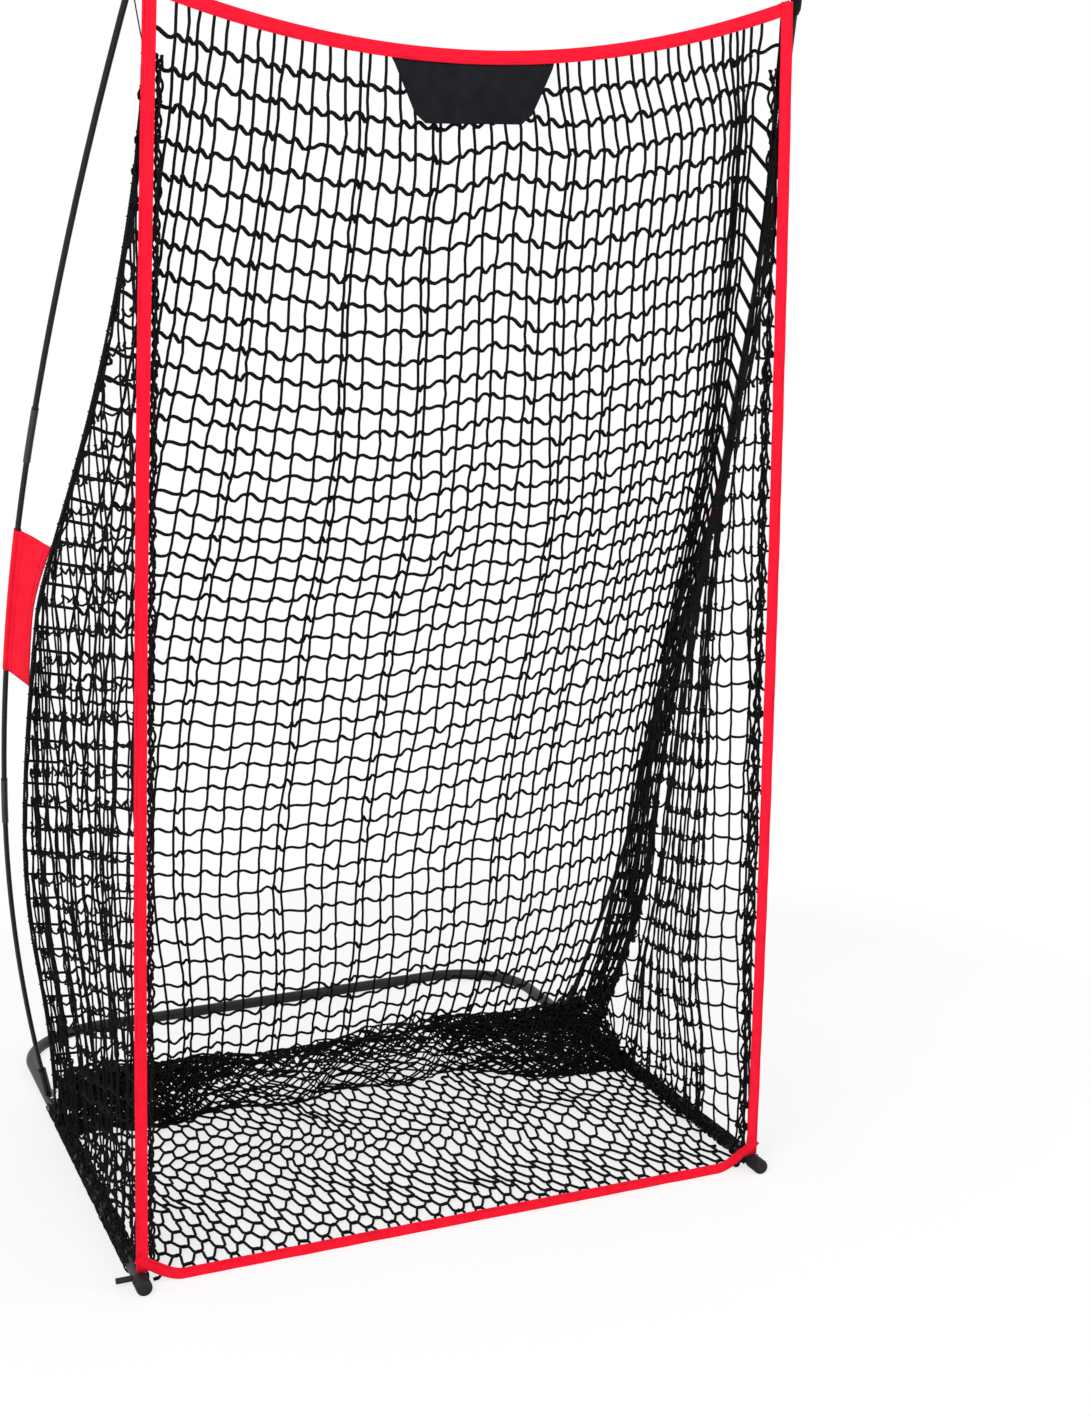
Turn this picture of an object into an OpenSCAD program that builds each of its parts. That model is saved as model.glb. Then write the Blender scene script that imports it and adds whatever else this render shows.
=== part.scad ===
// Pitching target net: a steel U base on the ground, two bowed fibreglass poles and a bag of
// knotted netting hung behind a mouth edged with webbing. Millimetres, +Z up, the mouth faces
// -Y, and the origin is on the ground below the middle of the whole net. Left is -X.

/* [Mouth] */
// Height of the mouth's top corners above the ground
mouth_h = 2162; // [1500:10:2600]
// Width between the centrelines of the side bands at the top
mouth_w = 1060; // [700:10:1200]
// How far the top corners stand ahead of the feet
mouth_lean = 280; // [100:10:500]
// Drop of the top band's middle below its corners
band_sag = 90; // [20:5:200]
// Width of the webbing that edges the mouth
band_w = 21; // [15:1:40]
// Thickness of the folded webbing
band_t = 3; // [1.5:0.5:6]
// Outward bow of the side bands at mid height
band_bow = 8; // [0:1:30]
// Rise of the bottom band's ends to the rails
band_rise = 33; // [25:1:80]

/* [Header patch] */
// Width of the patch along the top band
patch_w = 275; // [120:5:500]
// Width of the patch at its lower edge
patch_low_w = 190; // [60:5:400]
// Height of the patch
patch_h = 90; // [40:5:200]
// Cut of its lower corners
patch_cut = 14; // [0:1:20]
// Thickness of the patch
patch_t = 2; // [1:0.5:4]
// How far the patch sits towards -X from the middle
patch_off = 20; // [0:5:60]

/* [Base tube] */
// Distance between the centrelines of the side rails
base_w = 1220; // [900:10:1600]
// Distance from the line of the feet to the centreline of the rear bar
base_depth = 1376; // [1000:10:1800]
// Outer diameter of the steel tube
tube_d = 25; // [22:1:32]
// Wall of the steel tube
tube_wall = 1.2; // [0.9:0.1:2]
// Centreline radius of the two rear bends
bend_r = 200; // [100:10:260]
// Straight length of a corner tube along the rear bar
rear_leg = 80; // [70:5:200]
// Straight length of a corner tube along the side rail
side_leg = 290; // [230:5:400]
// Length of the reduced end that slides into a corner tube
plug_len = 60; // [50:5:65]
// Length of rail ahead of the line of the feet
overhang = 30; // [30:1:80]
// Radial clearance of a reduced end in a corner tube
slide_gap = 0.15; // [0.1:0.05:0.3]

/* [Snap buttons] */
// Diameter of a button
button_d = 8; // [5:0.5:9]
// Height of a button above the tube
button_up = 3; // [2:0.5:5]
// Distance of a button from the end of the corner tube
button_in = 30; // [25:1:34]
// Thickness of the spring clip's strip
clip_t = 0.8; // [0.5:0.1:1.2]
// Width of the spring clip
clip_w = 8; // [5:1:9]

/* [Feet] */
// Wall of a rubber end cap
cap_wall = 2; // [1.5:0.5:4]
// Thickness of rubber below the tube, at the flat sole
sole_t = 1; // [0.5:0.5:1.5]
// Length of an end cap's solid end
cap_end = 12; // [8:1:20]
// Diameter of the cross pin that holds a corner of the mouth
pin_d = 11; // [5:1:12]
// Length of the pin from the tube's centre to its long end
pin_long = 41; // [25:1:60]
// Length of the pin from the tube's centre to its short end
pin_short = 18; // [18:1:24]

/* [Poles] */
// Diameter of the fibreglass pole
pole_d = 10; // [8:0.5:13]
// Bore of the pole
pole_bore = 4.6; // [4:0.2:6]
// Diameter of the elastic cord inside the pole
shock_d = 3; // [2.5:0.1:3.4]
// Distance from the rear bar's centreline forward to the pole's foot
foot_ahead = 420; // [380:1:450]
// Angle of the bow from straight outward towards the rear
bow_turn = 32; // [10:1:60]
// Turn of the pole over its lower section
low_turn = 11.5; // [4:0.5:14]
// Turn over its middle section
middle_turn = 8.5; // [3:0.5:11]
// Turn over its upper section
high_turn = 5.5; // [2:0.5:10]
// Outer diameter of the socket
socket_d = 18; // [16:1:24]
// Length of the socket from the rail's centreline
socket_len = 85; // [60:1:120]
// Length of a ferrule
ferrule_len = 110; // [60:5:160]
// Wall of a ferrule
ferrule_wall = 1.1; // [0.8:0.1:2]
// Height of the pole's tip above the mouth's corner
tip_rise = 20; // [0:1:60]
// Outer diameter of the corner pocket at the pole's tip
pocket_d = 20; // [19:1:34]
// Length of the pocket below the tip
pocket_down = 30; // [28:1:80]

/* [Side sleeves] */
// Height of the sleeve's middle, as a share of the pole's length
sleeve_at = 0.525; // [0.4:0.005:0.6]
// Length of the sleeve along the pole
sleeve_len = 315; // [150:5:400]
// Width of its flap from the pole to the net's seam
sleeve_w = 58; // [40:2:120]
// Thickness of the sleeve's cloth
sleeve_t = 2; // [1:0.2:4]
// Angle of the flap from straight inward towards the mouth
sleeve_turn = 60; // [30:1:70]

/* [Net] */
// Thickness of the net's solid strips
net_t = 2; // [1.5:0.5:4]
// Width of the strips
net_strip = 6; // [4:1:12]
// Diameter of the rope in the rear seams
rope_d = 6; // [4:1:14]
// Gaps across the rear net
rear_cols = 10; // [6:1:12]
// Gaps down the rear net
rear_rows = 15; // [8:1:18]
// Gaps across a side net
side_cols = 5; // [3:1:6]
// Gaps down a side net
side_rows = 12; // [8:1:14]
// Gaps across the floor net
floor_cols = 10; // [6:1:14]
// Gaps along the floor net
floor_rows = 7; // [4:1:10]
// Distance from the rear bar's centreline forward to the front of the gathered net
pile_ahead = 654; // [500:2:850]
// Depth of the gathered net
pile_depth = 175; // [100:5:260]
// Height of the gathered net
pile_h = 112; // [60:2:200]

/* [Hidden] */

$fn = 64;
// Smoothness of the poles' long arcs
ARC_FN = 720;
// Gap between a soft piece and what it lies against
soft_gap = 0.4;
// Overlap of a cutting tool past a face
cut = 1;
// Clearance of the pins and caps on the tube, of the buttons in it and of the ferrules on a pole
fit_gap = 0.05;
button_gap = 0.1;
ferrule_gap = 0.2;

tube_r = tube_d / 2;
pile_at = base_depth - pile_ahead;
bore_r = tube_r - tube_wall;
plug_r = bore_r - slide_gap;
plug_bore_r = plug_r - tube_wall;
tube_z = tube_r + sole_t;
rail_x = base_w / 2;
rear_end = rail_x - bend_r - rear_leg;
side_end = base_depth - bend_r - side_leg;
foot_y = base_depth - foot_ahead;

// The mouth's plane leans forward from the line of the feet
lean = atan(mouth_lean / mouth_h);
mouth_l = norm([mouth_lean, mouth_h]);
// The side band meets its rail a little inside the centreline
band_foot_in = 3;
band_foot_x = rail_x - band_foot_in;

// ---- vectors and curves ----
function unit(v) = v / norm(v);
function mix(a, b, t) = a + (b - a) * t;
function ease(t) = let (c = min(1, max(0, t))) c * c * (3 - 2 * c);
// A curve from p to q that leaves along m and arrives along n
function hermite(p, q, m, n, t) =
    (2 * t ^ 3 - 3 * t ^ 2 + 1) * p + (t ^ 3 - 2 * t ^ 2 + t) * m
    + (3 * t ^ 2 - 2 * t ^ 3) * q + (t ^ 3 - t ^ 2) * n;
// Point of the mouth's plane: x across, s up the plane, w ahead of it
function on_mouth(x, s, w = 0) =
    [x, -s * sin(lean) - w * cos(lean), s * cos(lean) - w * sin(lean)];

// ---- the bands' centrelines in the mouth's plane ----
function side_band_x(s) =
    mix(band_foot_x, mouth_w / 2, s / mouth_l) + 4 * band_bow * (s / mouth_l) * (1 - s / mouth_l);
function top_band_s(x) = mouth_l - band_sag * (1 - (2 * x / mouth_w) ^ 2);
bottom_band_end = side_band_x(band_rise + band_w + 2 * soft_gap) - band_w / 2 - soft_gap;
// Length over which its ends curve up to the side bands
rise_l = 62;
rise_power = 1.6;
function bottom_band_s(x) =
    band_w / 2 + soft_gap
    + band_rise * max(0, (abs(x) - bottom_band_end) / rise_l + 1) ^ rise_power;

// ---- the pole's three arcs ----
// Where the tip stands, past the band's edge and behind its plane
tip_clear = 1;
tip_back = 6;
pole_r = pole_d / 2;
pocket_r = pocket_d / 2;
pole_foot = [rail_x, foot_y, tube_z];
pole_top = [
    mouth_w / 2 + band_w / 2 + pocket_r + tip_clear, -mouth_lean + tip_back, mouth_h + tip_rise
];
chord = pole_top - pole_foot;
chord_dir = unit(chord);
bow_raw = [cos(bow_turn), sin(bow_turn), 0];
bow_dir = unit(bow_raw - (bow_raw * chord_dir) * chord_dir);
arc_side = cross(bow_dir, chord_dir);
// Rotation that takes X to the bow, Y to the chord and Z to the arcs' normal
arc_turn = [
    atan2(chord_dir.z, arc_side.z), -asin(bow_dir.z), atan2(bow_dir.y, bow_dir.x)
];
// The way along the pole, and the way out of its bow, where it has turned by a from the chord
function bent_dir(a) = cos(a) * chord_dir - sin(a) * bow_dir;
function bent_out(a) = cos(a) * bow_dir + sin(a) * chord_dir;
// Each section is one arc. All are equally long, and they meet tangent to each other.
turns = [low_turn, middle_turn, high_turn];
turned = [0, turns[0], turns[0] + turns[1]];
// A section's chord over its length
function taut(i) = sin(turns[i] / 2) / (turns[i] / 2) * 180 / PI;
// The way from the foot to the tip in lengths of a section, for a pole that leaves along X
function run(i) =
    let (a = turned[i] + turns[i] / 2) taut(i) * [cos(a), sin(a)] + (i > 0 ? run(i - 1) : [0, 0]);
section_l = norm(chord) / norm(run(2));
pole_l = 3 * section_l;
// Angle between the pole at its foot and the chord
foot_bend = atan2(run(2).y, run(2).x);
function section_foot(i) =
    i == 0 ? pole_foot
        : section_foot(i - 1)
            + section_l * taut(i - 1) * bent_dir(turned[i - 1] + turns[i - 1] / 2 - foot_bend);
section_r = [for (t = turns) section_l / t * 180 / PI];
section_centre = [for (i = [0:2]) section_foot(i) - section_r[i] * bent_out(turned[i] - foot_bend)];
// s runs along the pole from its foot
function section_of(s) = min(2, floor(s / section_l));
function arc_angle(s) =
    let (i = section_of(s)) turned[i] - foot_bend + (s / section_l - i) * turns[i];
function pole_at(s) =
    let (i = section_of(s)) section_centre[i] + section_r[i] * bent_out(arc_angle(s));
function pole_dir(s) = bent_dir(arc_angle(s));
// The socket is straight, along the pole's first stretch, and its bore ends above the rail
socket_dir = unit(pole_at(socket_len) - pole_foot);
// Solid end between the rail and the socket's bore
socket_end = 6;
socket_floor = tube_r / sin(acos(socket_dir.y)) + socket_end;
pole_start = socket_floor + soft_gap;

// ---- the side sleeve and the net's rear seam ----
rope_r = rope_d / 2;
sleeve_s = sleeve_at * pole_l;
flap_raw = [-cos(sleeve_turn), -sin(sleeve_turn), 0];
flap_dir = unit(flap_raw - (flap_raw * pole_dir(sleeve_s)) * pole_dir(sleeve_s));
// The rope starts this far in from the mouth's corner and below it
seam_in = 2;
seam_down = 6;
seam_top = on_mouth(mouth_w / 2 - seam_in, mouth_l - seam_down, -(band_t / 2 + rope_r + soft_gap));
seam_mid = pole_at(sleeve_s) + flap_dir * (pole_r + sleeve_w + rope_r + soft_gap);
// Where the rope ends along the gathered net, as a share of its depth
seam_end = 0.45;
seam_low = [
    rail_x + (tube_r + rope_r + soft_gap) * sin(45), pile_at + seam_end * pile_depth,
    tube_z + (tube_r + rope_r + soft_gap) * cos(45)
];
// How the rope leaves the corner, passes the sleeve from above and below, and comes to the rail,
// each for a stretch of length 1
seam_from = [0.08, 0.34, -1.39];
seam_over = 0.41;
seam_under = 2.17;
seam_to = [-0.1, 0.9, -1.32];
seam_a = norm(seam_mid - seam_top);
seam_b = norm(seam_low - seam_mid);
// v runs from 0 at the top corner to 1 at the rail, with the sleeve's middle at a half
function seam(v) =
    let (way = -pole_dir(sleeve_s))
    v < 0.5
        ? hermite(seam_top, seam_mid, seam_a * seam_from, seam_a * seam_over * way, 2 * v)
        : hermite(seam_mid, seam_low, seam_b * seam_under * way, seam_b * seam_to, 2 * v - 1);
function seam_way(v) = unit(seam(min(1, v + 0.01)) - seam(max(0, v - 0.01)));
// The seam's v at a height, found by halving
function seam_v(z, a = 0, b = 1, n = 20) =
    let (m = (a + b) / 2)
    n == 0 ? m : seam(m).z > z ? seam_v(z, m, b, n - 1) : seam_v(z, a, m, n - 1);
// The seam's point at a share of the way from a height z0 down to z1
function seam_fall(t, z0, z1) = seam(seam_v(mix(z0, z1, t)));

// ---- the whole net's place ----
pocket_up = pocket_r;
front_y = (pole_at(pole_l) + pole_dir(pole_l) * pocket_up).y - pocket_r;
mid_y = (front_y + base_depth + tube_r) / 2;
module stand() translate([0, -mid_y, 0]) children();
// side is -1 for the left, 1 for the right; a piece is drawn for the right
module sided(side) stand() if (side > 0) children(); else mirror([1, 0, 0]) children();

// ---- shared shapes ----
module run_x(x0, x1, r) translate([x0, 0, 0]) rotate([0, 90, 0]) cylinder(r = r, h = x1 - x0);
module run_y(y0, y1, r) translate([0, y1, 0]) rotate([90, 0, 0]) cylinder(r = r, h = y1 - y0);
// Puts Z along a direction
module aim(dir) rotate([0, acos(dir.z), atan2(dir.y, dir.x)]) children();
module rod(p, q, r) translate(p) aim(unit(q - p)) cylinder(r = r, h = norm(q - p));
// Sweeps a profile from s0 to s1 along the arc of section i; X points out of the bow
module along_pole(i, s0, s1)
    translate(section_centre[i]) rotate(arc_turn)
        rotate([0, 0, turned[i] - foot_bend + (s0 / section_l - i) * turns[i]])
            rotate_extrude(angle = (s1 - s0) / section_l * turns[i], $fn = ARC_FN)
                translate([section_r[i], 0]) children();
// A ring of n points round the way forward at p, the first of them towards a
function round_ring(p, way, a, r, n) =
    [for (k = [0:n - 1]) p + r * (cos(k * 360 / n) * a + sin(k * 360 / n) * cross(way, a))];
module ring(outer, inner) difference() {
    circle(r = outer);
    circle(r = inner);
}
// Stands a flat shape in the mouth's plane, from w0 to w0 + t ahead of it
module in_mouth(w0, t)
    rotate([90 + lean, 0, 0]) translate([0, 0, w0]) linear_extrude(t) children();
// A strip of webbing along the curve f from t = a to b
module strip(f, a, b, w, n)
    let (
        step = (b - a) / n,
        at = [for (i = [0:n]) f(a + i * step)],
        way = [for (i = [0:n]) unit(at[min(n, i + 1)] - at[max(0, i - 1)])],
        out = [for (i = [0:n]) [-way[i].y, way[i].x] * w / 2]
    )
    polygon(concat(
        [for (i = [0:n]) at[i] + out[i]],
        [for (i = [n:-1:0]) at[i] - out[i]]
    ));

// ---- base tube ----
module corner_run(r, past) {
    translate([0, base_depth, tube_z]) run_x(rear_end - past, rail_x - bend_r, r);
    translate([rail_x - bend_r, base_depth - bend_r, tube_z])
        rotate_extrude(angle = 90) translate([bend_r, 0]) circle(r = r);
    translate([rail_x, 0, tube_z]) run_y(side_end - past, base_depth - bend_r, r);
}
module button_hole(p) translate([p.x, p.y, tube_z]) cylinder(r = button_d / 2 + button_gap, h = tube_d);
rear_button = [rear_end + button_in, base_depth];
side_button = [rail_x, side_end + button_in];

module rear_bar() color("#202022") stand() difference() {
    translate([0, base_depth, tube_z]) difference() {
        union() {
            run_x(-rear_end, rear_end, tube_r);
            run_x(-rear_end - plug_len, rear_end + plug_len, plug_r);
        }
        run_x(-rear_end + plug_len, rear_end - plug_len, bore_r);
        run_x(-rear_end - plug_len - cut, rear_end + plug_len + cut, plug_bore_r);
    }
    for (side = [-1, 1]) button_hole([side * rear_button.x, rear_button.y]);
}
module corner_tube(side) color("#1c1c1e") sided(side) difference() {
    corner_run(tube_r, 0);
    corner_run(bore_r, cut);
    button_hole(rear_button);
    button_hole(side_button);
}
module side_rail(side) color("#202022") sided(side) difference() {
    translate([rail_x, 0, tube_z]) difference() {
        union() {
            run_y(-overhang, side_end, tube_r);
            run_y(-overhang, side_end + plug_len, plug_r);
        }
        run_y(-overhang - cut, side_end - plug_len, bore_r);
        run_y(-overhang - cut, side_end + plug_len + cut, plug_bore_r);
        translate([0, pin_y, 0]) run_x(-tube_d, tube_d, pin_d / 2 + fit_gap);
    }
    button_hole(side_button);
}

// ---- snap buttons ----
flange_out = 1.5;
flange_r = button_d / 2 + flange_out;
flange_top = sqrt(plug_bore_r ^ 2 - flange_r ^ 2) - button_gap;
flange_t = 1;
button_dome = 2.2;
// Drawn on the tube's axis, pointing up, with a domed head
module snap_button(p) color("#b9bbc0") stand() translate([p.x, p.y, tube_z]) rotate_extrude() {
    translate([0, flange_top - flange_t]) square([flange_r, flange_t]);
    translate([0, flange_top]) square([button_d / 2, tube_r + button_up - button_dome - flange_top]);
    translate([0, tube_r + button_up - button_dome]) intersection() {
        translate([0, button_dome - dome_r]) circle(r = dome_r);
        square([button_d / 2, button_dome]);
    }
}
dome_r = ((button_d / 2) ^ 2 + button_dome ^ 2) / (2 * button_dome);
clip_top = flange_top - flange_t - button_gap;
clip_low = -sqrt(plug_bore_r ^ 2 - (clip_w / 2) ^ 2) + button_gap;
clip_r = (clip_top - clip_low) / 2;
clip_reach = 14;
module clip_side(r) {
    translate([-clip_reach, -r]) square([clip_reach + flange_r, 2 * r]);
    translate([-clip_reach, 0]) circle(r = r);
}
// A hairpin of spring strip below the button; turn points its bend into the tube
module spring_clip(p, turn) color("#8d9096") stand()
    translate([p.x, p.y, tube_z + (clip_top + clip_low) / 2]) rotate([0, 0, turn])
        rotate([90, 0, 0]) linear_extrude(clip_w, center = true) difference() {
            clip_side(clip_r);
            clip_side(clip_r - clip_t);
            translate([flange_r, -clip_r + clip_t]) square([cut, 2 * (clip_r - clip_t)]);
        }

// ---- feet ----
cap_r = tube_r + cap_wall;
cap_round = 0.6 * cap_end;
// The pin passes just behind the band's foot
pin_back = 6;
pin_y = pin_back + pin_d / 2;
module end_cap(side) color("#151515") sided(side) intersection() {
    translate([rail_x, 0, tube_z]) rotate([90, 0, 0]) difference() {
        rotate_extrude() {
            square([cap_r, overhang + cap_end - cap_round]);
            square([cap_r - cap_round, overhang + cap_end]);
            translate([cap_r - cap_round, overhang + cap_end - cap_round])
                intersection() {
                    circle(r = cap_round);
                    square(cap_round);
                }
        }
        translate([0, 0, -cut]) cylinder(r = tube_r + fit_gap, h = overhang + cut);
    }
    translate([rail_x - tube_d, -overhang - tube_d, 0])
        cube([2 * tube_d, overhang + 2 * tube_d, 2 * tube_d]);
}
// The same pin in both rails, so its long end points to -X on each
module cross_pin(side) color("#19191a") stand()
    translate([side * rail_x, pin_y, tube_z]) run_x(-pin_long, pin_short, pin_d / 2);

// ---- poles ----
module pole_socket(side) color("#1c1c1e") sided(side) difference() {
    translate(pole_foot) aim(socket_dir) cylinder(d = socket_d, h = socket_len);
    translate(pole_foot) aim(socket_dir) translate([0, 0, socket_floor])
        cylinder(r = pole_r + soft_gap, h = socket_len);
    translate([rail_x, 0, tube_z]) run_y(foot_y - socket_len, foot_y + socket_len, tube_r);
}
module pole_section(side, i) color("#101011") sided(side)
    along_pole(i, max(pole_start, i * section_l), (i + 1) * section_l) ring(pole_r, pole_bore / 2);
// The tube round the joint above section i
module ferrule(side, i) color("#161617") sided(side)
    let (s = (i + 1) * section_l)
    along_pole(i, s - ferrule_len / 2, s + ferrule_len / 2)
        ring(pole_r + ferrule_gap + ferrule_wall, pole_r + ferrule_gap);
shock_sides = 8;
shock_steps = 36;
module shock_cord(side) color("#d8d8d8") sided(side)
    skin([for (i = [0:shock_steps]) let (s = mix(pole_start, pole_l, i / shock_steps))
        round_ring(pole_at(s), pole_dir(s), bent_out(arc_angle(s)), shock_d / 2, shock_sides)]);
// A moulded cap over the pole's tip
tip_wall = 1.6;
tip_len = 26;
tip_gap = 0.3;
tip_bore = pole_r + tip_gap;
module pole_tip(side) color("#151515") sided(side)
    translate(pole_at(pole_l)) aim(pole_dir(pole_l)) difference() {
        rotate_extrude() {
            translate([0, -tip_len]) square([tip_bore + tip_wall, tip_len]);
            intersection() {
                circle(r = tip_bore + tip_wall);
                square(tip_bore + tip_wall);
            }
        }
        translate([0, 0, -tip_len - cut]) cylinder(r = tip_bore, h = tip_len + cut + tip_gap);
    }
// The webbing pocket on the mouth's corner, open below and drawn in at its mouth
pocket_in = tip_bore + tip_wall + soft_gap;
pocket_taper = 1.5;
pocket_taper_l = 7;
module corner_pocket(side) color("#141414") sided(side)
    translate(pole_at(pole_l)) aim(pole_dir(pole_l)) difference() {
        rotate_extrude() {
            translate([0, -pocket_down]) polygon([
                [0, 0], [pocket_r - pocket_taper, 0], [pocket_r, pocket_taper_l],
                [pocket_r, pocket_down + pocket_up], [0, pocket_down + pocket_up]
            ]);
            translate([0, pocket_up]) intersection() {
                circle(r = pocket_r);
                square(pocket_r);
            }
        }
        rotate_extrude() {
            translate([0, -pocket_down - cut]) square([pocket_in, pocket_down + cut]);
            intersection() {
                circle(r = pocket_in);
                square(pocket_in);
            }
        }
    }
// A thin cord from the pocket to the side band's outer edge
corner_cord_r = 1.3;
corner_cord_l = 85;
cord_inset = 3;
cord_in = unit([-1, 0, 0] + pole_dir(pole_l).x * pole_dir(pole_l));
cord_from = pole_at(pole_l - pocket_down - corner_cord_r - soft_gap)
    + cord_in * (pocket_in + corner_cord_r / 2);
cord_to = on_mouth(
    side_band_x(mouth_l - corner_cord_l) + band_w / 2 - cord_inset, mouth_l - corner_cord_l,
    -(band_t / 2 + corner_cord_r + soft_gap)
);
module corner_cord(side) color("#111111") sided(side) rod(cord_from, cord_to, corner_cord_r);

// ---- bands, patch and ties ----
module side_band(side) color("#e8102c") sided(side) in_mouth(-band_t / 2, band_t)
    strip(function (s) [side_band_x(s), s],
        (tube_z + cap_r + soft_gap) / cos(lean), mouth_l + band_w / 2, band_w, 16);
// Cut to fit between the side bands
module top_band() color("#e8102c") stand() in_mouth(-band_t / 2, band_t)
    let (end = side_band_x(mouth_l + band_w / 2) - band_w / 2 - soft_gap)
    intersection() {
        strip(function (x) [x, top_band_s(x)], -mouth_w / 2, mouth_w / 2, band_w, 24);
        translate([-end, 0]) square([2 * end, mouth_l + band_w]);
    }
module bottom_band() color("#e8102c") stand() in_mouth(-band_t / 2, band_t)
    intersection() {
        strip(function (x) [x, bottom_band_s(x)], -rail_x, rail_x, band_w, 64);
        translate([-bottom_band_end, 0]) square([2 * bottom_band_end, 2 * band_w + band_rise]);
    }
// How much wider the patch is at the top of its cut corners, on each side
patch_flare = 4;
patch_steps = 6;
module header_patch() color("#0c0c0c") stand() in_mouth(soft_gap, patch_t)
    let (
        edge = function (x) top_band_s(x) - band_w / 2 - soft_gap,
        low = edge(-patch_off) - patch_h
    )
    polygon(concat(
        [for (i = [0:patch_steps]) let (x = patch_w * (i / patch_steps - 0.5) - patch_off) [x, edge(x)]],
        [
            [-patch_off + patch_low_w / 2 + patch_flare, low + patch_cut],
            [-patch_off + patch_low_w / 2 - patch_cut, low],
            [-patch_off - patch_low_w / 2 + patch_cut, low],
            [-patch_off - patch_low_w / 2 - patch_flare, low + patch_cut]
        ]
    ));
// An elastic loop round the short end of the left pin, or the long end of the right one
tie_r = 1.5;
tie_turn_r = pin_d / 2 + tie_r + soft_gap;
// The loop's upper turn lies this far below the level to which the bottom band rises
tie_below = 8;
tie_z = tube_z + band_rise - tie_below;
module corner_tie(side) color("#121212") sided(side)
    translate([rail_x - tube_r - tie_r - soft_gap, pin_y, 0]) rotate([0, -90, 0]) {
        for (way = [-1, 1]) {
            translate([way < 0 ? tube_z : tie_z, 0, 0]) rotate([0, 0, -90 * way])
                rotate_extrude(angle = 180) translate([tie_turn_r, 0]) circle(r = tie_r);
            translate([tube_z, way * tie_turn_r, 0]) run_x(0, tie_z - tube_z, tie_r);
        }
    }

// ---- side sleeves ----
// The loop sewn round the pole is loose by this much
sleeve_gap = 0.5;
flap_steps = 8;
// A row of the flap runs from the pole's s to the rope at the height below it
function flap_row(s) =
    let (
        p = pole_at(s),
        q = seam(seam_v((p + flap_dir * (pole_r + sleeve_w + rope_r)).z)),
        way = unit(q - p),
        side = unit(cross(pole_dir(s), way)) * sleeve_t / 2,
        a = p + way * (pole_r + sleeve_gap + sleeve_t / 2),
        b = q - way * (rope_r + soft_gap)
    )
    [a - side, b - side, b + side, a + side];
module side_sleeve(side) color("#e8102c") sided(side) {
    along_pole(section_of(sleeve_s), sleeve_s - sleeve_len / 2, sleeve_s + sleeve_len / 2)
        ring(pole_r + sleeve_gap + sleeve_t, pole_r + sleeve_gap);
    skin([for (i = [0:flap_steps]) flap_row(sleeve_s + sleeve_len * (i / flap_steps - 0.5))]);
}

// ---- seam ropes, pile and netting ----
// A closed solid through rings of points, each round its own way forward
module skin(rings)
    let (
        n = len(rings),
        m = len(rings[0])
    )
    polyhedron(
        [for (r = rings) each r],
        concat(
            [for (i = [0:n - 2], j = [0:m - 1]) let (k = (j + 1) % m) each [
                [i * m + j, (i + 1) * m + j, (i + 1) * m + k],
                [i * m + j, (i + 1) * m + k, i * m + k]
            ]],
            [for (k = [1:m - 2]) each [[0, k, k + 1], [(n - 1) * m, (n - 1) * m + k + 1, (n - 1) * m + k]]]
        ),
        convexity = 6
    );
rope_sides = 8;
function rope_ring(v) =
    let (way = seam_way(v))
    round_ring(seam(v), way, unit(cross([1, 0, 0], way)), rope_r, rope_sides);
// The rope bends where the side net's rows meet it
function row_v(j) = seam_v(mix(side_top, side_low, j / side_rows));
module seam_rope(side) color("#101010") sided(side)
    skin([for (v = concat([0], [for (j = [0:side_rows]) row_v(j)], [1])) rope_ring(v)]);

pile_x = rail_x - tube_r - soft_gap;
pile_steps = 32;
pile_arc = 11;
// The gathered net reaches further forward on the right, from lobe_from to lobe_full of its half
pile_lobe = 150;
lobe_from = 0.35;
lobe_full = 0.95;
// Waves of its two edges and folds of its top: size, and degrees from the middle to an end
front_wave = [20, 800];
back_wave = [10, 620];
top_wave = [0.07, 1700];
function pile_front(x) =
    pile_at - pile_lobe * ease((x / pile_x - lobe_from) / (lobe_full - lobe_from))
    + front_wave[0] * cos(x / pile_x * front_wave[1]);
function pile_back(x) = pile_at + pile_depth + back_wave[0] * sin(x / pile_x * back_wave[1]);
// Shallow folds, none of them standing above the pile's height
function pile_fold(x, a) = 1 - top_wave[0] * (1 + sin(x / pile_x * top_wave[1] + 3 * a));
function pile_ring(x) =
    let (
        f = pile_front(x),
        b = pile_back(x),
        mid = (f + b) / 2,
        ridge = pile_ridge - mid
    )
    concat([[x, f, 0], [x, b, 0]], [
        for (k = [1:pile_arc]) let (a = k * 180 / (pile_arc + 1))
            [x, mid + (b - f) / 2 * cos(a) + ridge * sin(a) ^ 3, pile_h * sin(a) ^ 0.7 * pile_fold(x, a)]
    ]);
net_low_z = pile_h + soft_gap + net_strip / 4;
pile_ridge = seam(seam_v(net_low_z)).y;
module net_pile() color("#121212") stand()
    skin([for (i = [0:pile_steps]) pile_ring(pile_x * (2 * i / pile_steps - 1))]);

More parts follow.
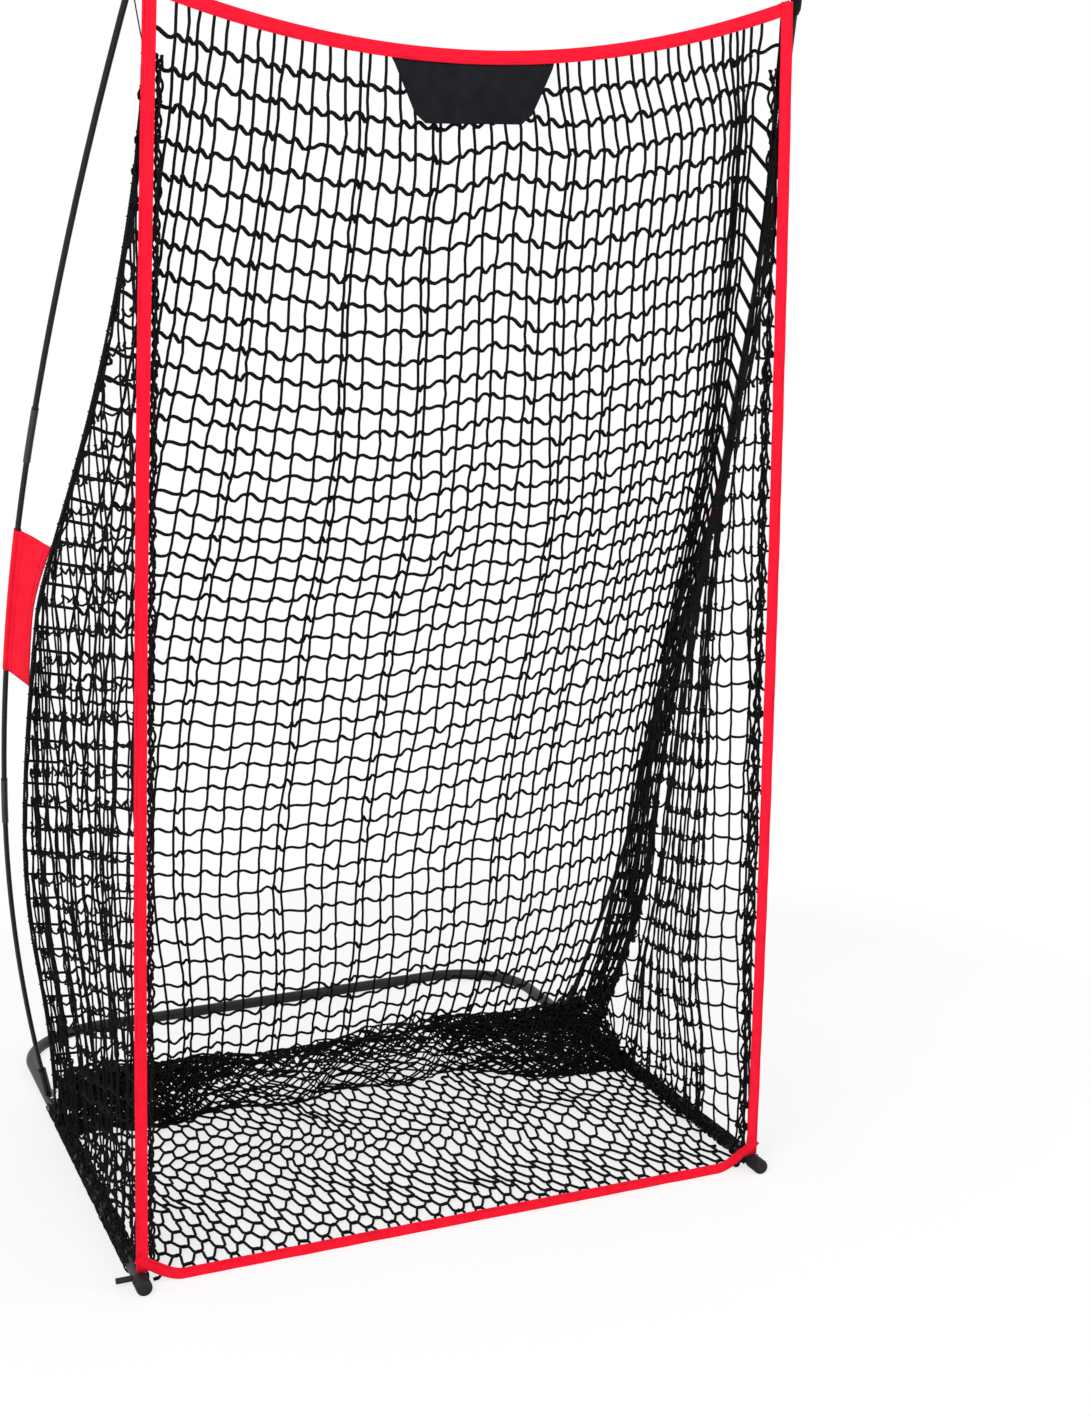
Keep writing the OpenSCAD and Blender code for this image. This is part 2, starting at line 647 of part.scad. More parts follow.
// An openwork sheet as one closed solid: flat strips that cross round cols x rows gaps.
// place(u, v) gives a point of the sheet, and wide and tall its size
module open_net(cols, rows, wide, tall, place)
    let (
        us = [for (i = [0:cols], e = [-0.5, 0.5]) i / cols + e * net_strip / wide],
        vs = [for (j = [0:rows], e = [-0.5, 0.5]) j / rows + e * net_strip / tall],
        fit = function (t, n) (t - n[0]) / (n[len(n) - 1] - n[0]),
        na = len(us),
        nb = len(vs),
        h = 0.02,
        face_dir = function (u, v) unit(cross(
            place(min(1, u + h), v) - place(max(0, u - h), v),
            place(u, min(1, v + h)) - place(u, max(0, v - h))
        )),
        points = [
            for (e = [0.5, -0.5], v = vs, u = us) let (a = fit(u, us), b = fit(v, vs))
                place(a, b) + face_dir(a, b) * e * net_t
        ],
        solid = function (a, b) a >= 0 && b >= 0 && a < na - 1 && b < nb - 1
            && (a % 2 == 0 || b % 2 == 0),
        id = function (a, b, low) (low ? na * nb : 0) + b * na + a,
        quad = function (p, q, r, s) [[p, r, q], [p, s, r]],
        edges = [[0, 0, 1, 0, 0, -1], [1, 0, 1, 1, 1, 0], [1, 1, 0, 1, 0, 1], [0, 1, 0, 0, -1, 0]],
        faces = [
            for (b = [0:nb - 2], a = [0:na - 2]) if (solid(a, b)) each concat(
                quad(id(a, b, false), id(a + 1, b, false), id(a + 1, b + 1, false), id(a, b + 1, false)),
                quad(id(a, b + 1, true), id(a + 1, b + 1, true), id(a + 1, b, true), id(a, b, true)),
                [for (k = edges) if (!solid(a + k[4], b + k[5])) each quad(
                    id(a + k[0], b + k[1], true), id(a + k[2], b + k[3], true),
                    id(a + k[2], b + k[3], false), id(a + k[0], b + k[1], false)
                )]
            )
        ]
    )
    polyhedron(points, faces, convexity = 10);

net_edge = net_t / 2 + soft_gap;
// The rear net starts behind the top band, whose sag fades out over its first rows
sag_rows = 0.3;
// It keeps this far inside the corners, over the first corner_rows of its height
corner_in = 8;
corner_rows = 0.25;
function rear_edge(v) = seam_fall(v, seam_top.z, net_low_z);
function rear_half(v) =
    rear_edge(v).x - rope_r - net_edge - corner_in * (1 - ease(v / corner_rows));
function rear_place(u, v) =
    let (
        across = 2 * u - 1,
        x = across * rear_half(v),
        x0 = across * rear_half(0),
        edge = rear_edge(v),
        top = on_mouth(x0, top_band_s(x0) - band_w / 4, -(band_t / 2 + net_edge)) - seam(0),
        fade = max(0, 1 - v / sag_rows) ^ 2
    )
    [x, edge.y + top.y * fade, edge.z + top.z * fade];
module rear_net() color("#161616") stand()
    open_net(rear_cols, rear_rows, base_w, mouth_h, function (u, v) rear_place(u, v));

// Where the side net starts below the corner, and the height that its lower edge keeps
side_from = 0.06;
side_top = mouth_h * (1 - side_from);
side_low = tube_z + tube_r + net_strip / 2;
function side_place(u, v) =
    let (
        s = mix(mouth_l * (1 - side_from), side_low, v),
        front = on_mouth(side_band_x(s), s, -(band_t / 2 + net_edge)),
        rope = seam_fall(v, side_top, side_low),
        rear = rope - unit(rope - front) * (rope_r + 4 * soft_gap)
    )
    mix(front, rear, u);
module side_net(side) color("#161616") sided(side)
    open_net(side_cols, side_rows, base_depth / 3, mouth_h, function (u, v) side_place(u, v));

floor_z = 2;
floor_gap_front = 1;
floor_front = band_t / 2 + floor_gap_front;
floor_hem = 0.02;
floor_half = 0.45;
function floor_point(u, v) =
    let (x = pile_x * (2 * u - 1))
    [x, mix(floor_front, pile_front(x) - 2 * soft_gap, v)];
// A diamond gap round i, j, cut to a triangle at the net's edges
module floor_gap(i, j)
    polygon([
        for (e = [[-1, 0], [0, -1], [1, 0], [0, 1]])
            let (
                u = (i + e.x * floor_half) / floor_cols,
                v = (j + e.y * floor_half) / floor_rows
            )
            floor_point(min(1 - floor_hem, max(floor_hem, u)), min(1 - floor_hem, max(floor_hem, v)))
    ]);
module floor_net() color("#161616") stand() translate([0, 0, floor_z]) linear_extrude(net_t)
    difference() {
        polygon(concat(
            [for (i = [0:1]) floor_point(i, 0)],
            [for (i = [pile_steps:-1:0]) floor_point(i / pile_steps, 1)]
        ));
        for (i = [1:floor_cols], j = [1:floor_rows])
            floor_gap(i - 0.5, j - 0.5);
        for (i = [0:floor_cols], j = [1:floor_rows - 1])
            floor_gap(i, j);
        for (i = [1:floor_cols - 1], j = [0, floor_rows])
            floor_gap(i, j);
    }

rear_bar();
corner_tube(-1);  // corner_tube_left
corner_tube(1);  // corner_tube_right
side_rail(-1);  // side_rail_left
side_rail(1);  // side_rail_right
snap_button([-rear_button.x, rear_button.y]);  // snap_button_rear_left
snap_button(rear_button);  // snap_button_rear_right
snap_button([-side_button.x, side_button.y]);  // snap_button_side_left
snap_button(side_button);  // snap_button_side_right
spring_clip([-rear_button.x, rear_button.y], 180);  // spring_clip_rear_left
spring_clip(rear_button, 0);  // spring_clip_rear_right
spring_clip([-side_button.x, side_button.y], 90);  // spring_clip_side_left
spring_clip(side_button, 90);  // spring_clip_side_right
end_cap(-1);  // end_cap_left
end_cap(1);  // end_cap_right
cross_pin(-1);  // cross_pin_left
cross_pin(1);  // cross_pin_right
pole_socket(-1);  // pole_socket_left
pole_socket(1);  // pole_socket_right
pole_section(-1, 0);  // pole_lower_left
pole_section(1, 0);  // pole_lower_right
pole_section(-1, 1);  // pole_middle_left
pole_section(1, 1);  // pole_middle_right
pole_section(-1, 2);  // pole_upper_left
pole_section(1, 2);  // pole_upper_right
ferrule(-1, 0);  // ferrule_low_left
ferrule(1, 0);  // ferrule_low_right
ferrule(-1, 1);  // ferrule_high_left
ferrule(1, 1);  // ferrule_high_right
shock_cord(-1);  // shock_cord_left
shock_cord(1);  // shock_cord_right
pole_tip(-1);  // pole_tip_left
pole_tip(1);  // pole_tip_right
corner_pocket(-1);  // corner_pocket_left
corner_pocket(1);  // corner_pocket_right
corner_cord(-1);  // corner_cord_left
corner_cord(1);  // corner_cord_right
side_band(-1);  // side_band_left
side_band(1);  // side_band_right
top_band();
bottom_band();
header_patch();
corner_tie(-1);  // corner_tie_left
corner_tie(1);  // corner_tie_right
side_sleeve(-1);  // side_sleeve_left
side_sleeve(1);  // side_sleeve_right
seam_rope(-1);  // seam_rope_left
seam_rope(1);  // seam_rope_right
rear_net();
side_net(-1);  // side_net_left
side_net(1);  // side_net_right
floor_net();
net_pile();
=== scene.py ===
import math

import bpy
import numpy as np
from mathutils import Matrix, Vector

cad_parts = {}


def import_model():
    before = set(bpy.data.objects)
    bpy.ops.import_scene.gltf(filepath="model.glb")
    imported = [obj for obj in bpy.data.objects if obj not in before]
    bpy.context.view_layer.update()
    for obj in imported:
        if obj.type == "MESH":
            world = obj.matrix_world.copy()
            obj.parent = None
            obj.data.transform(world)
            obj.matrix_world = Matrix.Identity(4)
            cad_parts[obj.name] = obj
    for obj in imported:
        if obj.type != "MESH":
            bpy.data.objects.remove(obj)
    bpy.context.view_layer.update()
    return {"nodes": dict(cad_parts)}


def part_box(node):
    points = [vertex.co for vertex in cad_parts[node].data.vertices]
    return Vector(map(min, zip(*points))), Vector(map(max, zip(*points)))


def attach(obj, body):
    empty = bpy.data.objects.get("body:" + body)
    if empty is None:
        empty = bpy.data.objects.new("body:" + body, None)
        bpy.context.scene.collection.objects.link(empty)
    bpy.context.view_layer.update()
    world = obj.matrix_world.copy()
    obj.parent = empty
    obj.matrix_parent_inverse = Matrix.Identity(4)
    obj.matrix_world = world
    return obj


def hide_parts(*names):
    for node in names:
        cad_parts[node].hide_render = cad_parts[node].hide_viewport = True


# Looks of the pitching target net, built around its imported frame. Metres, +Z up. Points are
# worked out with y = 0 on the line of the feet, as the object's own sizes are, and LINE_Y moves
# them into the frame.
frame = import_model()

# ---- the object's own sizes ----
MOUTH_H, MOUTH_W, MOUTH_LEAN = 2.162, 1.060, 0.280
BAND_SAG, BAND_W, BAND_T, BAND_BOW, BAND_RISE = 0.090, 0.021, 0.003, 0.008, 0.033
PATCH_W, PATCH_LOW_W, PATCH_H, PATCH_CUT, PATCH_OFF = 0.275, 0.190, 0.090, 0.014, 0.020
BASE_W, BASE_DEPTH, TUBE_D, SOLE_T = 1.220, 1.376, 0.025, 0.001
POLE_D, FOOT_AHEAD, BOW_TURN, TIP_RISE = 0.010, 0.420, 32, 0.020
TURNS = np.radians([11.5, 8.5, 5.5])
POCKET_D, POCKET_DOWN, PIN_D, CAP_WALL = 0.020, 0.030, 0.011, 0.002
SLEEVE_AT, SLEEVE_L, SLEEVE_W, SLEEVE_TURN, SLEEVE_GAP = 0.525, 0.315, 0.058, 60, 0.0005
ROPE_D, PILE_AT, PILE_DEPTH, PILE_H = 0.006, 0.722, 0.175, 0.112
SOFT_GAP, TIP_CLEAR, TIP_BACK, PIN_Y, CORNER_CORD_L = 0.0004, 0.001, 0.006, 0.0115, 0.085
# Twine: its radius, the length of a bar between two knots, and a knot's radius
TWINE_R, BAR, KNOT_R = 0.0030, 0.051, 0.0045
SIDE_R, SIDE_KNOT_R = 0.0026, 0.0040
FLOOR_R, FLOOR_KNOT_R = 0.0028, 0.0038

LINE_Y = sum(corner.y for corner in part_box("rear_bar")) / 2 - BASE_DEPTH
TUBE_R, POLE_R, ROPE_R, POCKET_R = TUBE_D / 2, POLE_D / 2, ROPE_D / 2, POCKET_D / 2
TUBE_Z = TUBE_R + SOLE_T
RAIL_X = BASE_W / 2
FOOT_Y = BASE_DEPTH - FOOT_AHEAD
LEAN = math.atan2(MOUTH_LEAN, MOUTH_H)
MOUTH_L = math.hypot(MOUTH_LEAN, MOUTH_H)
BAND_FOOT_X = RAIL_X - 0.003
NET_BACK = BAND_T / 2 + SOFT_GAP + 0.001
X_AXIS, Y_AXIS, Z_AXIS = np.eye(3)


# ---- vectors and curves ----
def unit(v):
    v = np.asarray(v, float)
    return v / np.linalg.norm(v, axis=-1, keepdims=True)


def mix(a, b, t):
    return a + (b - a) * t


def ease(t):
    t = np.clip(t, 0, 1)
    return t * t * (3 - 2 * t)


def hermite(p, q, m, n, t):
    """A curve from p to q that leaves along m and arrives along n, at each t."""
    t = np.asarray(t, float)[..., None]
    return ((2 * t ** 3 - 3 * t ** 2 + 1) * p + (t ** 3 - 2 * t ** 2 + t) * m
            + (3 * t ** 2 - 2 * t ** 3) * q + (t ** 3 - t ** 2) * n)


def arc_of(line):
    """How far along a line of points each one is."""
    return np.concatenate([[0], np.cumsum(np.linalg.norm(np.diff(line, axis=0), axis=1))])


def along_line(line, arc, at):
    """The line's points at distances along it."""
    return np.stack([np.interp(at, arc, line[:, k]) for k in range(3)], 1)


def put(name, data):
    """A new object in the scene."""
    obj = bpy.data.objects.new(name, data)
    bpy.context.scene.collection.objects.link(obj)
    return obj


def on_mouth(x, s, w=0.0):
    """Point of the mouth's plane: x across, s up the plane, w ahead of it."""
    x, s, w = np.broadcast_arrays(np.asarray(x, float), s, w)
    return np.stack([x, -s * math.sin(LEAN) - w * math.cos(LEAN),
                     s * math.cos(LEAN) - w * math.sin(LEAN)], -1)


def side_band_x(s):
    t = np.asarray(s, float) / MOUTH_L
    return mix(BAND_FOOT_X, MOUTH_W / 2, t) + 4 * BAND_BOW * t * (1 - t)


def top_band_s(x):
    return MOUTH_L - BAND_SAG * (1 - (2 * np.asarray(x, float) / MOUTH_W) ** 2)


BOTTOM_END = float(side_band_x(BAND_RISE + BAND_W + 2 * SOFT_GAP)) - BAND_W / 2 - SOFT_GAP


def bottom_band_s(x):
    rise = np.maximum(0, (np.abs(x) - BOTTOM_END) / 0.062 + 1) ** 1.6
    return BAND_W / 2 + SOFT_GAP + BAND_RISE * rise


# The pole's three arcs, one for each section
pole_foot = np.array([RAIL_X, FOOT_Y, TUBE_Z])
pole_top = np.array([MOUTH_W / 2 + BAND_W / 2 + POCKET_R + TIP_CLEAR,
                     TIP_BACK - MOUTH_LEAN, MOUTH_H + TIP_RISE])
chord = np.linalg.norm(pole_top - pole_foot)
chord_dir = (pole_top - pole_foot) / chord
bow_raw = np.array([math.cos(math.radians(BOW_TURN)), math.sin(math.radians(BOW_TURN)), 0])
bow_dir = unit(bow_raw - (bow_raw @ chord_dir) * chord_dir)


def bent(a):
    """The way along the pole, and out of its bow, where it has turned by a from the chord."""
    a = np.asarray(a, float)[..., None]
    return (np.cos(a) * chord_dir - np.sin(a) * bow_dir,
            np.cos(a) * bow_dir + np.sin(a) * chord_dir)


turned = np.cumsum(TURNS) - TURNS
taut = np.sin(TURNS / 2) / (TURNS / 2)
run = (taut * [np.cos(turned + TURNS / 2), np.sin(turned + TURNS / 2)]).sum(1)
section_l = chord / np.linalg.norm(run)
foot_bend = math.atan2(run[1], run[0])
pole_l = 3 * section_l
section_way = section_l * taut[:, None] * bent(turned + TURNS / 2 - foot_bend)[0]
section_foot = pole_foot + np.cumsum(section_way, axis=0) - section_way
section_r = section_l / TURNS
section_centre = section_foot - section_r[:, None] * bent(turned - foot_bend)[1]


def arc_angle(s):
    i = np.clip(np.asarray(s / section_l, int), 0, 2)
    return i, turned[i] - foot_bend + (s / section_l - i) * TURNS[i]


def pole_at(s):
    i, a = arc_angle(s)
    return section_centre[i] + section_r[i][..., None] * bent(a)[1]


def pole_dir(s):
    return bent(arc_angle(s)[1])[0]


# The net's rear seam, from the mouth's corner past the sleeve to the rail
sleeve_s = SLEEVE_AT * pole_l
sleeve_way = pole_dir(sleeve_s)
flap_raw = np.array([-math.cos(math.radians(SLEEVE_TURN)), -math.sin(math.radians(SLEEVE_TURN)), 0])
flap_dir = unit(flap_raw - (flap_raw @ sleeve_way) * sleeve_way)
seam_top = on_mouth(MOUTH_W / 2 - 0.002, MOUTH_L - 0.006, -(BAND_T / 2 + ROPE_R + SOFT_GAP))
seam_mid = pole_at(sleeve_s) + flap_dir * (POLE_R + SLEEVE_W + ROPE_R + SOFT_GAP)
rope_off = (TUBE_R + ROPE_R + SOFT_GAP) * math.sin(math.radians(45))
seam_low = np.array([RAIL_X + rope_off, PILE_AT + 0.45 * PILE_DEPTH, TUBE_Z + rope_off])
seam_a = np.linalg.norm(seam_mid - seam_top)
seam_b = np.linalg.norm(seam_low - seam_mid)


def seam(v):
    v = np.asarray(v, float)
    upper = hermite(seam_top, seam_mid, seam_a * np.array([0.08, 0.34, -1.39]),
                    -seam_a * 0.41 * sleeve_way, 2 * v)
    lower = hermite(seam_mid, seam_low, -seam_b * 2.17 * sleeve_way,
                    seam_b * np.array([-0.1, 0.9, -1.32]), 2 * v - 1)
    return np.where(v[..., None] < 0.5, upper, lower)


SEAM_TABLE = np.linspace(0, 1, 600)
SEAM_POINTS = seam(SEAM_TABLE)


def seam_at(z):
    """The seam's point at a height."""
    return seam(np.interp(z, SEAM_POINTS[::-1, 2], SEAM_TABLE[::-1]))


def mirror(points, side):
    return points * np.array([side, 1, 1])


# ---- meshes ----
class Shape:
    """The points and faces of one mesh, gathered bit by bit."""

    def __init__(self):
        self.points, self.faces, self.count = [], [], 0

    def add(self, points, *faces):
        points = np.asarray(points, float).reshape(-1, 3)
        self.points.append(points)
        self.faces += [f + self.count for f in faces]
        self.count += len(points)

    def tube(self, line, radius, facing, sides=5):
        """A tube with flat ends along a line; facing never points along the line."""
        line = np.asarray(line, float)
        way = unit(np.gradient(line, axis=0))
        side = unit(np.cross(way, facing))
        up = np.cross(side, way)
        angle = np.arange(sides) * 2 * math.pi / sides
        spread = np.cos(angle)[:, None] * side[:, None] + np.sin(angle)[:, None] * up[:, None]
        rings = line[:, None] + np.broadcast_to(radius, len(line))[:, None, None] * spread
        start = np.arange(len(line) - 1)[:, None] * sides
        k = np.arange(sides)
        after = (k + 1) % sides
        walls = np.stack([start + after, start + k, start + sides + k, start + sides + after], -1)
        ends = np.stack([k, (len(line) - 1) * sides + k[::-1]])
        self.add(rings, walls.reshape(-1, 4), ends)

    def beads(self, centres, radius, rng, stretch=1.25):
        """Small knots: twenty-sided balls, each turned and stretched its own way."""
        g = (1 + math.sqrt(5)) / 2
        ball = np.array([[-1, g, 0], [1, g, 0], [-1, -g, 0], [1, -g, 0], [0, -1, g], [0, 1, g],
                         [0, -1, -g], [0, 1, -g], [g, 0, -1], [g, 0, 1], [-g, 0, -1], [-g, 0, 1]])
        ball /= math.hypot(1, g)
        faces = np.array([[0, 11, 5], [0, 5, 1], [0, 1, 7], [0, 7, 10], [0, 10, 11], [1, 5, 9],
                          [5, 11, 4], [11, 10, 2], [10, 7, 6], [7, 1, 8], [3, 9, 4], [3, 4, 2],
                          [3, 2, 6], [3, 6, 8], [3, 8, 9], [4, 9, 5], [2, 4, 11], [6, 2, 10],
                          [8, 6, 7], [9, 8, 1]])
        n = len(centres)
        a = unit(rng.normal(size=(n, 3)))
        b = unit(np.cross(a, rng.normal(size=(n, 3))))
        axes = np.stack([a, b, np.cross(a, b)], 1)
        size = radius * np.stack([rng.uniform(1, stretch, n), rng.uniform(0.8, 1, n),
                                  rng.uniform(0.8, 1, n)], 1)
        points = centres[:, None] + (ball[None] * size[:, None]) @ axes
        self.add(points, (faces[None] + np.arange(n)[:, None, None] * 12).reshape(-1, 3))

    def sheet(self, grid, thick):
        """A sheet of cloth through a grid of points, closed round its edges."""
        n, m = grid.shape[:2]
        normal = unit(np.cross(np.gradient(grid, axis=0), np.gradient(grid, axis=1)))
        half = np.broadcast_to(thick, (n, m))[..., None] / 2
        index = np.arange(n * m).reshape(n, m)
        a, b, c, d = index[:-1, :-1], index[1:, :-1], index[1:, 1:], index[:-1, 1:]
        upper = np.stack([a, b, c, d], -1).reshape(-1, 4)
        lower = np.stack([a, d, c, b], -1).reshape(-1, 4) + n * m
        rim = np.concatenate([index[:, 0], index[-1, 1:], index[-2::-1, -1], index[0, -2:0:-1]])
        after = np.roll(rim, -1)
        edge = np.stack([after, rim, rim + n * m, after + n * m], -1)
        self.add(np.concatenate([(grid + normal * half).reshape(-1, 3),
                                 (grid - normal * half).reshape(-1, 3)]), upper, lower, edge)

    def object(self, name, *materials):
        """The Blender object, riding on the frame's fixed body."""
        mesh = bpy.data.meshes.new(name)
        points = np.concatenate(self.points) + [0, LINE_Y, 0]
        corners = np.concatenate([f.ravel() for f in self.faces])
        sizes = np.concatenate([np.full(len(f), f.shape[1]) for f in self.faces])
        mesh.vertices.add(len(points))
        mesh.vertices.foreach_set("co", points.astype(np.float32).ravel())
        mesh.loops.add(len(corners))
        mesh.loops.foreach_set("vertex_index", corners.astype(np.int32))
        mesh.polygons.add(len(sizes))
        mesh.polygons.foreach_set("loop_start", (np.cumsum(sizes) - sizes).astype(np.int32))
        mesh.update(calc_edges=True)
        mesh.validate()
        mesh.shade_smooth()
        for material in materials:
            mesh.materials.append(material)
        piece = put(name, mesh)
        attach(piece, "frame")
        return piece


def hanging(knots, facing, rng, steps=6, share=0.29):
    """A line through a row of knots, with each bar between two knots hanging in a bow."""
    a, b = knots[:-1], knots[1:]
    gap = np.linalg.norm(b - a, axis=1)
    slack = share * np.sqrt(np.maximum(BAR ** 2 - gap ** 2, (0.2 * BAR) ** 2))
    slack = slack * rng.uniform(0.75, 1.25, len(a))
    t = np.linspace(0, 1, steps + 1)[:-1]
    u = t[None] ** rng.uniform(0.75, 1.35, (len(a), 1))
    dip = (slack[:, None] * 4 * u * (1 - u))[..., None] * -Z_AXIS
    swing = (rng.normal(0, 0.25, (len(a), 1)) * slack[:, None] * np.sin(2 * math.pi * t))
    line = a[:, None] + (b - a)[:, None] * t[:, None] + dip + swing[..., None] * facing
    return np.concatenate([line.reshape(-1, 3), knots[-1:]])


def slung(knots, facing, rng, steps=6):
    """A row of slack bars: each humps beside its higher knot and sags beside its lower one."""
    a, b = knots[:-1], knots[1:]
    slack = np.sqrt(np.maximum(BAR ** 2 - np.linalg.norm(b - a, axis=1) ** 2, 0))
    t = np.linspace(0, 1, steps + 1)[:-1]
    size = (np.minimum(slack * 0.15, 0.0066) * rng.uniform(0.6, 1.3, len(a)))[:, None]
    higher = np.sign(a[:, 2] - b[:, 2] + rng.normal(0, 0.0008, len(a)))[:, None]
    lift = size * (0.7 * higher * np.sin(2 * math.pi * t) - 0.6 * np.sin(math.pi * t))
    swell = (slack * rng.normal(0.12, 0.1, len(a)))[:, None] * np.sin(math.pi * t)
    line = (a[:, None] + (b - a)[:, None] * t[:, None] + lift[..., None] * Z_AXIS
            + swell[..., None] * facing)
    return np.concatenate([line.reshape(-1, 3), knots[-1:]])


def threaded(knots, rng, wobble=0.0010):
    """A taut line through a column of knots, with a point between each two."""
    middle = (knots[:-1] + knots[1:]) / 2 + rng.normal(0, wobble, (len(knots) - 1, 3))
    line = np.empty((2 * len(knots) - 1, 3))
    line[0::2], line[1::2] = knots, middle
    return line


def drift(rng, rows, cols, reach, size):
    """A random field that changes slowly down its rows, with `reach` rows between bumps."""
    stops = np.arange(0, rows + 2 * reach, reach)
    values = rng.normal(0, size, (len(stops), cols))
    at = np.arange(rows)
    return np.stack([np.interp(at, stops, values[:, j]) for j in range(cols)], 1)


def ripple(rng, x, y, wave, size, count=7):
    """A smooth random field over x and y, with bumps about a wave apart."""
    total = 0
    for _ in range(count):
        angle, phase = rng.uniform(0, 2 * math.pi, 2)
        k = 2 * math.pi / (wave * rng.uniform(0.7, 1.6))
        total = total + np.sin(k * (x * math.cos(angle) + y * math.sin(angle)) + phase)
    return size * total / math.sqrt(count)


def squeeze(raw, limit, room, reach):
    """Distances past limit - room are gathered into that room, the further the closer."""
    past = np.maximum(raw - (limit - room), 0)
    return np.where(past > 0, limit - room + room * (1 - np.exp(-past / reach)), raw)


# ---- materials ----
class Nodes:
    """A material's nodes, with its shader ready."""

    def __init__(self, name):
        self.material = bpy.data.materials.new(name)
        self.material.use_nodes = True
        self.tree = self.material.node_tree
        self.shader = self.tree.nodes["Principled BSDF"]

    def add(self, kind, inputs, **settings):
        node = self.tree.nodes.new("ShaderNode" + kind)
        for key, value in settings.items():
            setattr(node, key, value)
        for key, value in inputs.items():
            if isinstance(value, bpy.types.NodeSocket):
                self.tree.links.new(value, node.inputs[key])
            else:
                node.inputs[key].default_value = value
        return node

    def place(self):
        return self.tree.nodes.new("ShaderNodeTexCoord").outputs["Object"]

    def noise(self, scale, detail=3.0, stretch=(1, 1, 1)):
        at = self.add("Mapping", {"Vector": self.place(), "Scale": stretch})
        return self.add("TexNoise", {"Vector": at.outputs[0], "Scale": scale,
                                     "Detail": detail}).outputs["Fac"]

    def colours(self, factor, *stops):
        ramp = self.add("ValToRGB", {"Fac": factor})
        ramp.color_ramp.elements.remove(ramp.color_ramp.elements[-1])
        for i, (at, colour) in enumerate(stops):
            spot = ramp.color_ramp.elements[0] if i == 0 else ramp.color_ramp.elements.new(at)
            spot.position = at
            spot.color = (*colour, 1)
        return ramp.outputs["Color"]

    def maths(self, operation, a, b):
        return self.add("Math", {0: a, 1: b}, operation=operation).outputs[0]

    def span(self, factor, low, high):
        return self.add("MapRange", {"Value": factor, "To Min": low, "To Max": high}).outputs[0]

    def finish(self, colour, rough, height=None, depth=0.0002, strength=1.0, **fixed):
        links = self.tree.links
        links.new(colour, self.shader.inputs["Base Color"])
        links.new(rough, self.shader.inputs["Roughness"])
        if height is not None:
            bump = self.add("Bump", {"Height": height, "Distance": depth, "Strength": strength})
            links.new(bump.outputs[0], self.shader.inputs["Normal"])
        for key, value in fixed.items():
            self.shader.inputs[key.replace("_", " ")].default_value = value
        return self.material


def coated(name, dark, light, rough=(0.34, 0.5), grain=700, depth=0.00012, **fixed):
    """Paint, rubber or moulded plastic: a fine skin, and slow changes of shade and gloss."""
    n = Nodes(name)
    colour = n.colours(n.noise(26, 6), (0.3, dark), (0.72, light))
    return n.finish(colour, n.span(n.noise(55, 5), *rough), n.noise(grain, 2), depth, **fixed)


def metal(name, dark, light):
    """Bright steel with fine drawn lines."""
    n = Nodes(name)
    colour = n.colours(n.noise(160, 5), (0.3, dark), (0.7, light))
    lines = n.noise(900, 3, (1, 1, 0.06))
    return n.finish(colour, n.span(lines, 0.22, 0.42), lines, 0.00004, Metallic=1.0)


def drawn(name, dark, light):
    """A pultruded pole: glossy, with faint streaks along its length."""
    n = Nodes(name)
    streaks = n.noise(700, 4, (1, 1, 0.02))
    colour = n.colours(streaks, (0.35, dark), (0.7, light))
    return n.finish(colour, n.span(n.noise(120, 4), 0.3, 0.44), streaks, 0.00006,
                    Specular_IOR_Level=0.25)


def woven(name, dark, light, thread, rough=(0.7, 0.9), depth=0.00035, tilt=(0, 0, 0), **fixed):
    """Cloth or webbing: threads crossing at their real pitch, with worn and fuller patches."""
    n = Nodes(name)
    at = n.add("Mapping", {"Vector": n.place(), "Rotation": tilt}).outputs[0]
    scale = 1 / thread
    waves = [n.add("TexWave", {"Vector": at, "Scale": scale / 3.1416, "Distortion": 0.6,
                               "Detail": 1.0}, bands_direction=way, wave_profile="SIN")
             .outputs["Fac"] for way in ("X", "Z")]
    weave = n.maths("MAXIMUM", *waves)
    fibres = n.noise(2400, 3)
    shade = n.maths("ADD", n.maths("MULTIPLY", n.noise(45, 6), 0.62),
                    n.maths("MULTIPLY", n.maths("ADD", weave, fibres), 0.2))
    colour = n.colours(shade, (0.32, dark), (0.68, light))
    height = n.maths("ADD", weave, n.maths("MULTIPLY", n.noise(220, 4), 1.6))
    return n.finish(colour, n.span(fibres, *rough), height, depth, **fixed)


def twisted(name, dark, light, scale, **fixed):
    """Twine, rope or elastic: short plies over a soft, dull thread."""
    n = Nodes(name)
    cells = n.add("TexVoronoi", {"Vector": n.place(), "Scale": scale}).outputs["Distance"]
    colour = n.colours(n.maths("ADD", cells, n.maths("MULTIPLY", n.noise(300, 4), 0.5)),
                       (0.3, dark), (0.95, light))
    return n.finish(colour, n.span(n.noise(500, 3), 0.62, 0.85), cells, 0.0003, **fixed)


